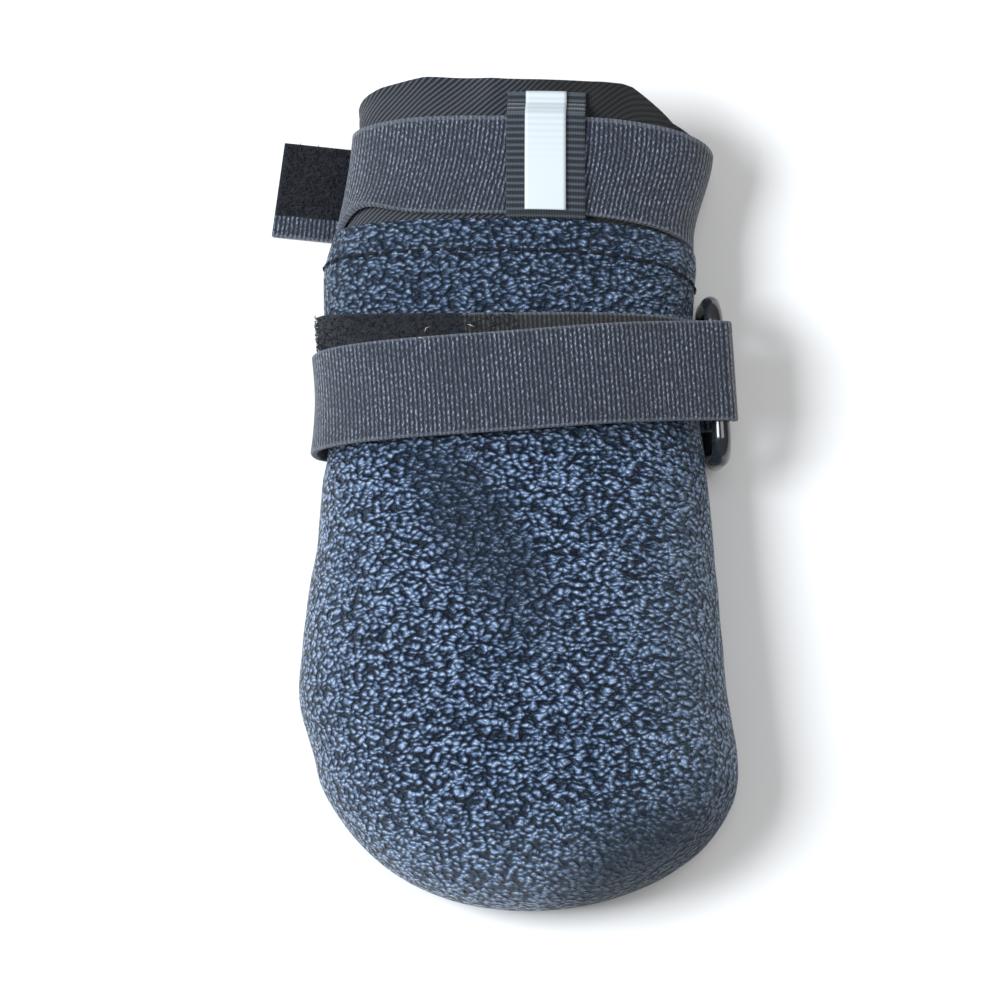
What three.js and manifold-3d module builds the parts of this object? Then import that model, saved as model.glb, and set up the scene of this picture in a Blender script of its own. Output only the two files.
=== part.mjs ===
// Paw boot for a dog, lying empty on its sole: toe towards -Y, collar towards +Y, millimetres, +Z up.
// The origin is on the floor, under the widest place of the foot.
import * as THREE from 'three';
import Module from 'manifold-3d';

const wasm = await Module();
wasm.setup();

// Lengths along the boot, each from the widest place of the foot
const toeReach = 42;
const heelReach = 42;
const cuffReach = 116.5;
const toeRound = 27;
const heelRound = 16;

// Widths and heights of foot, shaft and cuff
const ballWidth = 82;
const toeHeight = 34;
const shaftWidth = 72;
const shaftHeight = 27;
const cuffWidth = 67.5;
const cuffHeight = 23;
const footSideLevel = 9;
const shaftSideLevel = 12;

// Walls and the clearance between neighbours
const gap = 0.3;
const leather = 1.8;
const lining = 1.2;
const insoleThickness = 1.5;
const insoleGap = 0.6;
const lastingMargin = 8;
const cuffTuck = 20;

// Straps, ribbon and ring
const strapWidth = 19;
const strapThickness = 1.3;
const strapSlack = 0.15;
const tabLength = 17;
const tabTurnOut = 0.13;
const ribbonWidth = 15;
const ribbonThickness = 0.6;
const ribbonPlace = 7.4;
const ribbonFoot = 2.4;
const stripeWidth = 7.8;
const stripeThickness = 0.25;
const ringLength = 33;
const ringWidth = 17;
const ringBar = 3.5;
const ringCorner = 4.2;
const ringPlace = 58;
const ringTurn = 15;
const ringSlack = 1.3;
const ringTabWidth = 17;
const foldLead = 15;

// Sole: inset from the widest outline, edge rounding and cross bars
const soleInset = 2.6;
const soleEdge = 0.9;
const toeSpring = 1.1;
const treadPitch = 9;
const treadGroove = 2.2;
const treadDepth = 1;

// Levels that follow from two strap layers lying under the shaft
const underLevel = 2 * (strapThickness + gap) + strapSlack;
const cuffLift = -(leather + gap);
const hemLevel = underLevel + cuffLift;
const hemGap = ribbonThickness + 2 * gap;

// Stretch of the shaft in which its slack underside sinks to the floor, as shares of its reach
const sagFrom = 0.8;
const sagTo = 0.93;

// Strap and collar lines round the shaft: angle in degrees from the right side over the top,
// lengths as shares of the cuff's reach
const collarRows = [
  { turn: -180, strap: 0.852, edge: 0.955 },
  { turn: -90, strap: 0.826, edge: 0.935 },
  { turn: -40, strap: 0.805, edge: 0.9 },
  { turn: 0, strap: 0.801, edge: 0.886 },
  { turn: 20, strap: 0.813, edge: 0.899 },
  { turn: 38, strap: 0.826, edge: 0.922 },
  { turn: 54, strap: 0.835, edge: 0.964 },
  { turn: 66, strap: 0.841, edge: 0.982 },
  { turn: 90, strap: 0.848, edge: 0.991 },
  { turn: 125, strap: 0.855, edge: 1 },
  { turn: 150, strap: 0.852, edge: 0.99 },
  { turn: 180, strap: 0.846, edge: 0.98 },
  { turn: 225, strap: 0.845, edge: 0.95 },
  { turn: 270, strap: 0.845, edge: 0.935 },
];

// Instep strap: centre line along the boot as shares of the ring's place
const instepRows = [
  { step: 0, along: 1.1 },
  { step: 0.25, along: 1.09 },
  { step: 0.5, along: 1.045 },
  { step: 1, along: 1.03 },
  { step: 2, along: 1.02 },
  { step: 2.4, along: 0.965 },
  { step: 2.7, along: 0.945 },
  { step: 3, along: 0.94 },
];

// Smooth reading of a table between its rows
function table(rows, key, columns) {
  const values = rows.flatMap((row) => columns.map((name) => row[name]));
  const curve = new THREE.CubicInterpolant(rows.map((row) => row[key]), values, columns.length);
  return (at) => {
    const found = curve.evaluate(at);
    return Object.fromEntries(columns.map((name, i) => [name, found[i]]));
  };
}

const mix = THREE.MathUtils.lerp;
const collarLine = table(collarRows, 'turn', ['strap', 'edge']);
const instepLine = table(instepRows, 'step', ['along']);
const degrees = THREE.MathUtils.radToDeg;
const radians = THREE.MathUtils.degToRad;
const fullTurn = 360;
const topTurn = 90;
const underTurn = -90;
const strapLine = (turn) => collarLine(turn).strap * cuffReach;
const edgeLine = (turn) => collarLine(turn).edge * cuffReach;
const hemLine = (turn) => Math.min(strapLine(turn), strapLine(turn - fullTurn)) - strapWidth / 2 - hemGap;
const shaftReach = hemLine(topTurn);

// Sections of the boot: middle, half width and crown as shares of the named width and height,
// square is the exponent of the lower half, round that of the upper half
const footRows = [
  { along: -0.99, lean: 0.055, half: 0.97, crown: 0.96, square: 6, round: 2.3 },
  { along: -0.345, lean: 0.05, half: 0.972, crown: 0.98, square: 6, round: 2.3 },
  { along: -0.02, lean: -0.015, half: 0.993, crown: 1, square: 6, round: 2.35 },
  { along: 0.2, lean: -0.019, half: 0.978, crown: 0.985, square: 6, round: 2.35 },
  { along: 0.42, lean: -0.018, half: 0.957, crown: 0.945, square: 5.6, round: 2.35 },
  { along: 0.64, lean: -0.008, half: 0.927, crown: 0.895, square: 4.8, round: 2.4 },
  { along: 0.88, lean: -0.004, half: 0.905, crown: 0.85, square: 3.8, round: 2.4 },
];
const shaftRows = [
  { along: 0.62, lean: 0, half: 0.98, crown: 1.03, square: 2.5, round: 2.45 },
  { along: 0.8, lean: -0.03, half: 0.985, crown: 1.01, square: 2.4, round: 2.5 },
  { along: 0.92, lean: -0.025, half: 1, crown: 1, square: 2.4, round: 2.5 },
  { along: 1, lean: 0, half: 0.98, crown: 0.98, square: 2.4, round: 2.5 },
];
const cuffRows = [
  { along: 0.87, lean: 0.09, half: 1, crown: 1.04, square: 2.4, round: 2.4 },
  { along: 1, lean: 0.12, half: 0.99, crown: 1, square: 2.4, round: 2.3 },
];

function sectionRow(row, reach, halfWidth, height, grown) {
  return {
    y: row.along * reach,
    lean: row.lean * halfWidth,
    half: row.half * halfWidth + grown,
    crown: row.crown * height + grown,
    square: row.square,
    round: row.round,
  };
}

const sections = table([
  ...footRows.map((row) => sectionRow(row, heelReach, ballWidth / 2, toeHeight, 0)),
  ...shaftRows.map((row) => sectionRow(row, shaftReach, shaftWidth / 2, shaftHeight, 0)),
  ...cuffRows.map((row) => sectionRow(row, cuffReach, cuffWidth / 2, cuffHeight, -cuffLift)),
], 'y', ['lean', 'half', 'crown', 'square', 'round']);

// Share of the full size that is left in the rounded toe, for a surface grown outwards by out
function toeShare(y, out, power) {
  const depth = (toeRound - toeReach - y) / (toeRound + out);
  if (depth <= 0) return 1;
  return Math.max(0, 1 - depth ** power) ** (1 / power);
}

// Half width and heights of the section at y, grown outwards by out
function sectionAt(y, out) {
  const row = sections(y);
  const slack = THREE.MathUtils.smoothstep(y, sagFrom * shaftReach, sagTo * shaftReach);
  const rise = THREE.MathUtils.smoothstep(y, heelReach / 2, ringPlace);
  const level = mix(footSideLevel, shaftSideLevel, rise);
  const half = (row.half + out) * toeShare(y, out, 2);
  const up = (row.crown - level + out) * toeShare(y, out, 2);
  const down = (level - mix(underLevel, hemLevel, slack) + out) * toeShare(y, out, 4);
  return { ...row, level, half, up, down };
}

// A point of the boot's surface at the angle turn of the section at y, grown outwards by out
function skin(y, turn, out) {
  const row = sectionAt(y, out);
  const c = Math.cos(radians(turn));
  const s = Math.sin(radians(turn));
  const power = 2 / (s >= 0 ? row.round : row.square);
  const x = row.lean + row.half * Math.sign(c) * Math.abs(c) ** power;
  const z = row.level + (s >= 0 ? row.up : -row.down) * Math.abs(s) ** power;
  return new THREE.Vector3(x, y, z);
}

// Height of the boot's underside over the plan point x, y, grown outwards by out
function underside(x, y, out) {
  const row = sectionAt(y, out);
  const share = Math.min(1, Math.abs(x - row.lean) / Math.max(row.half, 1e-6));
  return row.level - row.down * (1 - share ** row.square) ** (1 / row.square);
}

// Half width of the grown section at the height z, or a negative number outside it
function halfAtLevel(y, z, out) {
  const row = sectionAt(y, out);
  const share = (row.level - z) / Math.max(row.down, 1e-6);
  if (share >= 1) return -1;
  return row.half * (1 - share ** row.square) ** (1 / row.square);
}

// A closed mesh from rows of points: each row is a closed loop with as many points.
// A row of one point is a pole; ring joins the last row to the first.
function skinMesh(rows, ring) {
  const points = rows.flat();
  const starts = [];
  let count = 0;
  for (const row of rows) {
    starts.push(count);
    count += row.length;
  }
  const index = [];
  const joins = ring ? rows.length : rows.length - 1;
  for (let j = 0; j < joins; j += 1) {
    const next = (j + 1) % rows.length;
    const a = rows[j].length;
    const b = rows[next].length;
    const size = Math.max(a, b);
    for (let i = 0; i < size; i += 1) {
      const k = (i + 1) % size;
      if (a > 1) index.push(starts[j] + i, starts[j] + k, starts[next] + (b > 1 ? k : 0));
      if (b > 1) index.push(starts[j] + (a > 1 ? i : 0), starts[next] + k, starts[next] + i);
    }
  }
  return meshGeometry(points, index);
}

// A strap from its stations, each with an inner and an outer row of points across its width
function strapMesh(stations) {
  const across = stations[0].inner.length;
  const points = stations.flatMap((station) => [...station.inner, ...station.outer.slice().reverse()]);
  const loop = 2 * across;
  const index = [];
  for (let j = 0; j < stations.length - 1; j += 1) {
    for (let i = 0; i < loop; i += 1) {
      const k = (i + 1) % loop;
      const here = j * loop;
      const next = here + loop;
      index.push(here + i, here + k, next + k, here + i, next + k, next + i);
    }
  }
  const last = (stations.length - 1) * loop;
  for (let i = 0; i < across - 1; i += 1) {
    const j = loop - 1 - i;
    index.push(i, j, j - 1, i, j - 1, i + 1);
    index.push(last + i, last + j - 1, last + j, last + i, last + i + 1, last + j - 1);
  }
  return meshGeometry(points, index);
}

function signedVolume(geometry) {
  const place = geometry.getAttribute('position');
  const index = geometry.getIndex();
  const corner = [new THREE.Vector3(), new THREE.Vector3(), new THREE.Vector3()];
  let sum = 0;
  for (let i = 0; i < index.count; i += 3) {
    corner.forEach((point, j) => point.fromBufferAttribute(place, index.getX(i + j)));
    sum += corner[0].dot(corner[1].clone().cross(corner[2])) / 6;
  }
  return sum;
}

// Geometry from points and triangles, with its faces turned outwards
function meshGeometry(points, index) {
  const geometry = new THREE.BufferGeometry().setFromPoints(points);
  geometry.setIndex(index);
  if (signedVolume(geometry) < 0) {
    const turned = [];
    for (let i = 0; i < index.length; i += 3) turned.push(index[i], index[i + 2], index[i + 1]);
    geometry.setIndex(turned);
  }
  geometry.computeVertexNormals();
  return geometry;
}

function toSolid(geometry) {
  const place = geometry.getAttribute('position');
  return new wasm.Manifold(new wasm.Mesh({
    numProp: 3,
    vertProperties: new Float32Array(place.array),
    triVerts: new Uint32Array(geometry.getIndex().array),
  }));
}

function fromSolid(solid) {
  const mesh = solid.getMesh();
  const geometry = new THREE.BufferGeometry();
  geometry.setAttribute('position', new THREE.BufferAttribute(new Float32Array(mesh.vertProperties), 3));
  geometry.setIndex(new THREE.BufferAttribute(new Uint32Array(mesh.triVerts), 1));
  const { points, order } = welded(geometry);
  return meshGeometry(points, withoutFlatTriangles(points, order));
}

// Corners that lie within the weld distance become one
const weldDistance = 0.01;

function welded(geometry) {
  const place = geometry.getAttribute('position');
  const index = geometry.getIndex();
  const points = [];
  const found = new Map();
  const cell = (value) => Math.floor(value / weldDistance);
  const nearest = (point) => {
    const at = point.toArray().map(cell);
    for (let i = -1; i <= 1; i += 1) {
      for (let j = -1; j <= 1; j += 1) {
        for (let k = -1; k <= 1; k += 1) {
          const near = found.get([at[0] + i, at[1] + j, at[2] + k].join()) ?? [];
          const match = near.find((n) => points[n].distanceTo(point) < weldDistance);
          if (match !== undefined) return match;
        }
      }
    }
    const key = at.join();
    found.set(key, [...(found.get(key) ?? []), points.length]);
    points.push(point);
    return points.length - 1;
  };
  const order = [];
  for (let i = 0; i < index.count; i += 3) {
    const corners = [0, 1, 2].map((j) => nearest(new THREE.Vector3().fromBufferAttribute(place, index.getX(i + j))));
    if (new Set(corners).size === 3) order.push(...corners);
  }
  return { points, order };
}

// Turns the longest edge of each triangle that has next to no height, so that none stays flat
const leastHeight = 0.002;

function withoutFlatTriangles(points, order) {
  const faces = [];
  for (let i = 0; i < order.length; i += 3) faces.push(order.slice(i, i + 3));
  const flatEdge = (face) => {
    const lengths = face.map((n, i) => points[n].distanceTo(points[face[(i + 1) % 3]]));
    const longest = lengths.indexOf(Math.max(...lengths));
    const [a, b, c] = [0, 1, 2].map((i) => points[face[(longest + i) % 3]]);
    const area = b.clone().sub(a).cross(c.clone().sub(a)).length();
    return area / lengths[longest] < leastHeight ? longest : -1;
  };
  for (let pass = 0; pass < 12; pass += 1) {
    const owner = new Map();
    faces.forEach((face, n) => face.forEach((corner, i) => owner.set(`${corner} ${face[(i + 1) % 3]}`, n)));
    const touched = new Set();
    let turned = 0;
    faces.forEach((face, n) => {
      const longest = flatEdge(face);
      if (longest < 0 || touched.has(n)) return;
      const [a, b, c] = [0, 1, 2].map((i) => face[(longest + i) % 3]);
      const other = owner.get(`${b} ${a}`);
      if (other === undefined || touched.has(other)) return;
      const d = faces[other].find((corner) => corner !== a && corner !== b);
      faces[n] = [a, d, c];
      faces[other] = [d, b, c];
      touched.add(n).add(other);
      turned += 1;
    });
    if (turned === 0) break;
  }
  return faces.flat();
}

const shares = (count) => Array.from({ length: count + 1 }, (_, i) => i / count);

// Places along the boot, close together in the rounded toe
function stationsAlong(toe, end, toeSteps, steps) {
  const round = toeRound - toeReach;
  const cap = shares(toeSteps).slice(1).map((f) => mix(toe, round, 1 - Math.cos(f * Math.PI / 2)));
  return [...cap, ...shares(steps).slice(1).map((f) => mix(round, end, f))];
}

// The hem falls with the strap's lower edge, fading out towards the foot
function hemmed(y, turn) {
  const fade = THREE.MathUtils.smoothstep(y, heelReach, shaftReach);
  return y + (hemLine(turn) - shaftReach) * fade;
}

// Upper: hollow leather wall from the toe to the hem, open below inside the lasting margin
const turnStep = 7.5;
const turns = shares(360 / turnStep).slice(0, -1).map((f) => 360 * f - 90);

function wallRows(out) {
  const toe = -toeReach - out;
  const pole = sectionAt(toe + 1e-6, out);
  const rows = stationsAlong(toe, shaftReach, 8, 16).map((y) => turns.map((turn) => skin(hemmed(y, turn), turn, out)));
  return [[new THREE.Vector3(pole.lean, toe, pole.level)], ...rows];
}

// Plan outline of the foot, inset from the widest outline: a loop of points, heel to toe and back
function footLoop(inset, height, steps = 24) {
  const toe = -toeReach + inset;
  const heel = heelReach - inset + soleInset;
  const half = (y) => {
    const row = sections(y);
    const toeDepth = Math.max(0, (toeRound - toeReach - y) / (toeRound - inset));
    const heelDepth = Math.max(0, (y - heelReach + heelRound) / (heelRound - inset + soleInset));
    const round = Math.sqrt(Math.max(0, 1 - toeDepth ** 2)) * Math.sqrt(Math.max(0, 1 - heelDepth ** 2));
    return { lean: row.lean, half: (row.half - inset) * round };
  };
  return shares(2 * steps).slice(0, -1).map((f) => {
    const y = mix(toe, heel, (1 - Math.cos(f * 2 * Math.PI)) / 2);
    const row = half(y);
    const x = row.lean + (f < 0.5 ? -row.half : row.half);
    return new THREE.Vector3(x, y, height(x, y));
  });
}

const footMiddle = (z) => [new THREE.Vector3(0, 0, z)];
const openingInset = soleInset + lastingMargin;

function makeUpper() {
  const wall = toSolid(skinMesh([...wallRows(0), ...wallRows(-leather).reverse()], false));
  const low = () => -gap;
  const high = () => underLevel + leather + gap;
  const opening = skinMesh([
    footMiddle(low()), footLoop(openingInset, low), footLoop(openingInset, high), footMiddle(high()),
  ], false);
  return fromSolid(wall.subtract(toSolid(opening)));
}

// Sole: its top follows the upper's underside, and its raised middle fills the upper's opening
function makeSole() {
  const spring = (y) => toeSpring * THREE.MathUtils.smoothstep(-y, toeReach - toeRound, toeReach);
  const bottom = (x, y) => spring(y);
  const edge = (x, y) => spring(y) + soleEdge;
  const top = (x, y) => underside(x, y, gap);
  const flat = () => underLevel - gap;
  const raised = () => underLevel + leather;
  const plate = toSolid(skinMesh([
    footMiddle(0),
    footLoop(soleInset + lastingMargin, bottom),
    footLoop(soleInset + soleEdge, bottom),
    footLoop(soleInset, edge),
    footLoop(soleInset, top),
    footLoop(soleInset + lastingMargin / 4, top),
    footLoop(soleInset + lastingMargin / 2, top),
    footLoop(openingInset + gap, flat),
    footLoop(openingInset + gap, raised),
    footMiddle(raised()),
  ], false));
  const grooves = Math.floor((toeReach + heelReach) / 2 / treadPitch);
  let cut = plate;
  for (let i = -grooves; i <= grooves; i += 1) {
    if (i === 0) continue;
    const groove = new THREE.BoxGeometry(ballWidth, treadGroove, 2 * treadDepth);
    groove.translate(0, (i - Math.sign(i) / 2) * treadPitch, 0);
    const { points, order } = welded(groove);
    cut = cut.subtract(toSolid(meshGeometry(points, order)));
  }
  return fromSolid(cut);
}

// Insole: a thin plate with the inner outline of the upper at each level
function makeInsole() {
  const low = underLevel + leather + gap;
  const levels = [low, low + insoleThickness / 3, low + insoleThickness];
  const loopAt = (z) => {
    const inside = (y) => halfAtLevel(y - 2 * insoleGap, z, -leather) - insoleGap;
    let out = -toeReach;
    let toe = 0;
    while (toe - out > 1e-4) {
      const middle = (toe + out) / 2;
      if (inside(middle) > 0) toe = middle;
      else out = middle;
    }
    return shares(48).slice(0, -1).map((f) => {
      const y = mix(toe, heelReach, (1 - Math.cos(f * 2 * Math.PI)) / 2);
      const heelDepth = Math.max(0, (y - heelReach + heelRound) / heelRound);
      const half = Math.max(0, inside(y)) * Math.sqrt(Math.max(0, 1 - heelDepth ** 2));
      return new THREE.Vector3(sections(y).lean + (f < 0.5 ? -half : half), y, z);
    });
  };
  return skinMesh([footMiddle(levels[0]), ...levels.map(loopAt), footMiddle(levels[2])], false);
}

// Cuff: lining tube tucked into the shaft, with the slanted collar edge
function makeCuff() {
  const steps = 8;
  const rowsOf = (out) => shares(steps).map((f) => turns.map((turn) => {
    const y = mix(shaftReach - cuffTuck, edgeLine(turn), f);
    return skin(y, turn, out);
  }));
  return skinMesh([...rowsOf(cuffLift), ...rowsOf(cuffLift - lining).reverse()], true);
}

// Ankle strap: once round the cuff, a second time under it, then flat out at the left as a tab
const strapAcross = shares(2).map((f) => (f - 0.5) * strapWidth);

const tabLead = 5;
const lapEnd = -75;
const lapStart = -20;

function makeAnkleStrap() {
  const inner = cuffLift + gap + strapSlack;
  const second = inner + strapThickness + gap;
  const first = underTurn + fullTurn - turnStep;
  const leave = underTurn - tabLead * turnStep;
  const wrap = shares((first - leave) / turnStep).map((f) => {
    const turn = mix(first, leave, f);
    const lift = mix(second, inner, THREE.MathUtils.smoothstep(turn, lapEnd, lapStart));
    const rowAt = (out) => strapAcross.map((e) => skin(strapLine(turn) + e, turn, out));
    return { inner: rowAt(lift), outer: rowAt(lift + strapThickness) };
  });
  const last = wrap[wrap.length - 1];
  const place = strapLine(leave);
  const from = skin(place, leave, second).x;
  const to = sections(place).lean - cuffWidth / 2 - tabLength;
  const tab = shares(6).slice(1).map((f) => {
    const slide = (from - to) * tabTurnOut * f;
    const rowAt = (level) => strapAcross.map((e, i) => new THREE.Vector3(
      mix(from, to, f) + e * tabTurnOut * f, last.inner[i].y + slide, level));
    return { inner: rowAt(strapThickness), outer: rowAt(0) };
  });
  return strapMesh([...wrap, ...tab]);
}

// Ribbon loop over the ankle strap, sewn down at the hem and above the strap
function ribbonRows(places, width, across, low, thickness) {
  const columns = shares(across).map((f) => ribbonPlace + (f - 0.5) * width);
  const middle = strapLine(90);
  return places.map(({ from, out, ny, nz }) => {
    const rowAt = (shift) => columns.map((x) => {
      const place = strapLine(turnOver(x, middle)) + from + ny * shift;
      const level = skin(place, turnOver(x, place), out + low + nz * shift).z;
      return new THREE.Vector3(x, place, level);
    });
    return { inner: rowAt(0), outer: rowAt(thickness) };
  });
}

// Angle of the section at y whose point lies over x on the upper side
function turnOver(x, y) {
  const row = sectionAt(y, 0);
  const share = THREE.MathUtils.clamp((x - row.lean) / row.half, -1, 1);
  return degrees(Math.acos(Math.sign(share) * Math.abs(share) ** (row.round / 2)));
}

const overStrap = cuffLift + gap + strapSlack + strapThickness + gap;

// Places along the ribbon, each from the strap's centre line: down at the hem, over the strap, onto the cuff
const ribbonBend = 0.35;
const ribbonInset = 0.2;
const ribbonSlope = 2.4;

function ribbonPlaces() {
  const front = -strapWidth / 2 - gap;
  const back = strapWidth / 2 + gap;
  const onCuff = cuffLift + gap;
  return [
    { from: front, out: onCuff, ny: -1, nz: 0 },
    { from: front, out: overStrap - ribbonBend, ny: -1, nz: 0 },
    { from: front + ribbonInset, out: overStrap, ny: -0.7, nz: 0.9 },
    { from: mix(front, back, 0.35), out: overStrap, ny: 0, nz: 1 },
    { from: mix(front, back, 0.7), out: overStrap, ny: 0, nz: 1 },
    { from: back, out: overStrap, ny: 0.2, nz: 1 },
    { from: back + ribbonSlope / 2, out: mix(overStrap, onCuff, 0.5), ny: 0.4, nz: 0.9 },
    { from: back + ribbonSlope, out: onCuff, ny: 0.2, nz: 1 },
    { from: back + ribbonSlope + ribbonFoot, out: onCuff, ny: 0, nz: 1 },
  ];
}

function makeKeeper() {
  return strapMesh(ribbonRows(ribbonPlaces(), ribbonWidth, 4, 0, ribbonThickness));
}

function makeStripe() {
  const places = ribbonPlaces().slice(3);
  places.unshift({ ...places[0], from: -strapWidth / 2 + gap });
  return strapMesh(ribbonRows(places, stripeWidth, 3, ribbonThickness + gap, stripeThickness));
}

// Ring: the strap passes between its upper bar and the shaft, the tab between its lower bar and the shaft
const barRadius = ringBar / 2;
const ringPitch = ringWidth - ringBar;
const standOff = strapThickness + 2 * gap + barRadius + ringSlack;
const barPoint = (turn, y) => skin(y, turn, standOff);

// Angle of the lower bar, a pitch away from the upper one
function lowerTurn() {
  const top = barPoint(ringTurn, ringPlace);
  let near = ringTurn;
  let far = underTurn + 1;
  while (near - far > 1e-3) {
    const middle = (near + far) / 2;
    if (barPoint(middle, ringPlace).distanceTo(top) < ringPitch) near = middle;
    else far = middle;
  }
  return near;
}

const tabTurn = lowerTurn();

function ringFrame() {
  const ends = [-0.5, 0.5].map((side) => barPoint(ringTurn, ringPlace + side * ringLength));
  const along = ends[1].clone().sub(ends[0]).normalize();
  const top = ends[0].clone().lerp(ends[1], 0.5);
  const down = barPoint(tabTurn, ringPlace).sub(top);
  down.addScaledVector(along, -down.dot(along)).normalize();
  const middle = top.clone().addScaledVector(down, ringPitch / 2);
  return { along, down, middle, face: new THREE.Vector3().crossVectors(along, down) };
}

const frame = ringFrame();

// Centre of a long bar at the place y: side is -1 for the upper bar and 1 for the lower one
function barAt(side, y) {
  const point = frame.middle.clone().addScaledVector(frame.down, side * ringPitch / 2);
  return point.addScaledVector(frame.along, (y - point.y) / frame.along.y);
}

function makeRing() {
  const { along, down, middle, face } = frame;
  const halfLong = ringLength / 2 - barRadius - ringCorner;
  const halfDeep = ringPitch / 2 - ringCorner;
  const corners = [[1, 1], [-1, 1], [-1, -1], [1, -1]];
  const rows = corners.flatMap(([sx, sy], quarter) => shares(5).map((f) => {
    const bend = (quarter + f) * Math.PI / 2;
    const out = along.clone().multiplyScalar(Math.cos(bend)).addScaledVector(down, Math.sin(bend));
    const centre = middle.clone()
      .addScaledVector(along, sx * halfLong)
      .addScaledVector(down, sy * halfDeep)
      .addScaledVector(out, ringCorner);
    return shares(10).slice(0, -1).map((g) => centre.clone()
      .addScaledVector(out, barRadius * Math.cos(g * 2 * Math.PI))
      .addScaledVector(face, barRadius * Math.sin(g * 2 * Math.PI)));
  }));
  return skinMesh(rows, true);
}

// Convex outline of plan points, anticlockwise
function hull(points) {
  const sorted = points.slice().sort((a, b) => a.x - b.x || a.y - b.y);
  const turnOf = (a, b, c) => (b.x - a.x) * (c.y - a.y) - (b.y - a.y) * (c.x - a.x);
  const half = (list) => {
    const chain = [];
    for (const point of list) {
      while (chain.length > 1 && turnOf(chain[chain.length - 2], chain[chain.length - 1], point) <= 0) chain.pop();
      chain.push(point);
    }
    chain.pop();
    return chain;
  };
  return [...half(sorted), ...half(sorted.slice().reverse())];
}

const flatPoint = (point) => new THREE.Vector2(point.x, point.z);

// Point and direction at the share f of a polyline's length
function walk(line, f) {
  const steps = line.slice(1).map((point, i) => point.distanceTo(line[i]));
  let rest = f * steps.reduce((sum, step) => sum + step, 0);
  let i = 0;
  while (i < steps.length - 1 && rest > steps[i]) {
    rest -= steps[i];
    i += 1;
  }
  const point = line[i].clone().lerp(line[i + 1], Math.min(1, rest / steps[i]));
  return { point, heading: line[i + 1].clone().sub(line[i]).normalize() };
}

// The face of a folded strap at the place y: along the boot, round its bar and back over itself.
// sense is 1 for a strap that comes over the top and -1 for one that comes from below.
function foldedFace(y, { start, end, bar, sense }) {
  const centre = flatPoint(barAt(-sense, y));
  const under = shares(48).map((f) => flatPoint(skin(y, mix(start, bar + sense * foldLead, f), gap + strapSlack)));
  const towards = flatPoint(skin(y, bar, gap)).sub(centre).angle() + sense * radians(foldLead);
  const reach = barRadius + gap + strapThickness;
  const about = (angle) => centre.clone().add(new THREE.Vector2(Math.cos(angle), Math.sin(angle)).multiplyScalar(reach));
  const out = sense > 0 ? 2 * Math.PI : 0;
  const round = shares(16).map((f) => about(mix(towards, out, f)));
  const over = 2 * (gap + strapThickness) + strapSlack;
  const cover = shares(60).map((f) => flatPoint(skin(y, mix(bar, end, f), over)));
  const circle = shares(24).slice(0, -1).map((f) => about(f * 2 * Math.PI));
  const outline = hull([...circle, ...cover]);
  const first = outline.reduce((best, point, i) => (point.x > outline[best].x ? i : best), 0);
  const stop = outline.reduce((best, point, i) => (
    point.distanceTo(cover[60]) < outline[best].distanceTo(cover[60]) ? i : best), 0);
  const back = [];
  for (let i = first; i !== stop; i = (i + sense + outline.length) % outline.length) back.push(outline[i]);
  back.push(outline[stop]);
  return [under, round, back];
}

// A folded strap: its stations walk the three stretches of its face in turn
function foldedStrap(shape, width, counts, centreAt) {
  const across = shares(2).map((f) => (f - 0.5) * width);
  const stations = counts.flatMap((count, part) => shares(count).slice(part === 0 ? 0 : 1).map((f) => {
    const inner = [];
    const outer = [];
    for (const e of across) {
      const y = centreAt(part + f) + e;
      const { point, heading } = walk(foldedFace(y, shape)[part], f);
      const side = new THREE.Vector2(-heading.y, heading.x).multiplyScalar(shape.sense * strapThickness);
      inner.push(new THREE.Vector3(point.x, y, point.y));
      outer.push(new THREE.Vector3(point.x + side.x, y, point.y + side.y));
    }
    return { inner, outer };
  }));
  return strapMesh(stations);
}

// Steps along the lower layer, round the ring's bar and along the upper layer
const instepSteps = [44, 12, 44];
const tabSteps = [12, 10, 12];

function makeInstepStrap() {
  const start = underTurn + fullTurn - turnStep;
  const shape = { start, end: start - 2 * turnStep, bar: ringTurn, sense: 1 };
  return foldedStrap(shape, strapWidth, instepSteps, (step) => instepLine(step).along * ringPlace);
}

function makeRingTab() {
  const start = underTurn + turnStep;
  const shape = { start, end: start, bar: tabTurn, sense: -1 };
  return foldedStrap(shape, ringTabWidth, tabSteps, () => ringPlace);
}

function finish(name, geometry, color, roughness, metalness = 0) {
  const mesh = new THREE.Mesh(geometry, new THREE.MeshStandardMaterial({ color, roughness, metalness }));
  mesh.name = name;
  return mesh;
}

const group = new THREE.Group();
group.add(
  finish('sole', makeSole(), 0x15171a, 0.75),
  finish('insole', makeInsole(), 0x1c1d20, 0.95),
  finish('upper', makeUpper(), 0x1b2029, 0.45),
  finish('cuff', makeCuff(), 0x26282b, 0.9),
  finish('ankle_strap', makeAnkleStrap(), 0x24272e, 0.7),
  finish('strap_keeper', makeKeeper(), 0x2b3036, 0.7),
  finish('reflective_stripe', makeStripe(), 0xe9f2f5, 0.35),
  finish('instep_strap', makeInstepStrap(), 0x24272e, 0.7),
  finish('strap_ring', makeRing(), 0x08090b, 0.15),
  finish('ring_tab', makeRingTab(), 0x17191d, 0.8),
);

export default group;
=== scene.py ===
import math
import random

import bpy
import numpy as np
from mathutils import Matrix, Vector, noise


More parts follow.
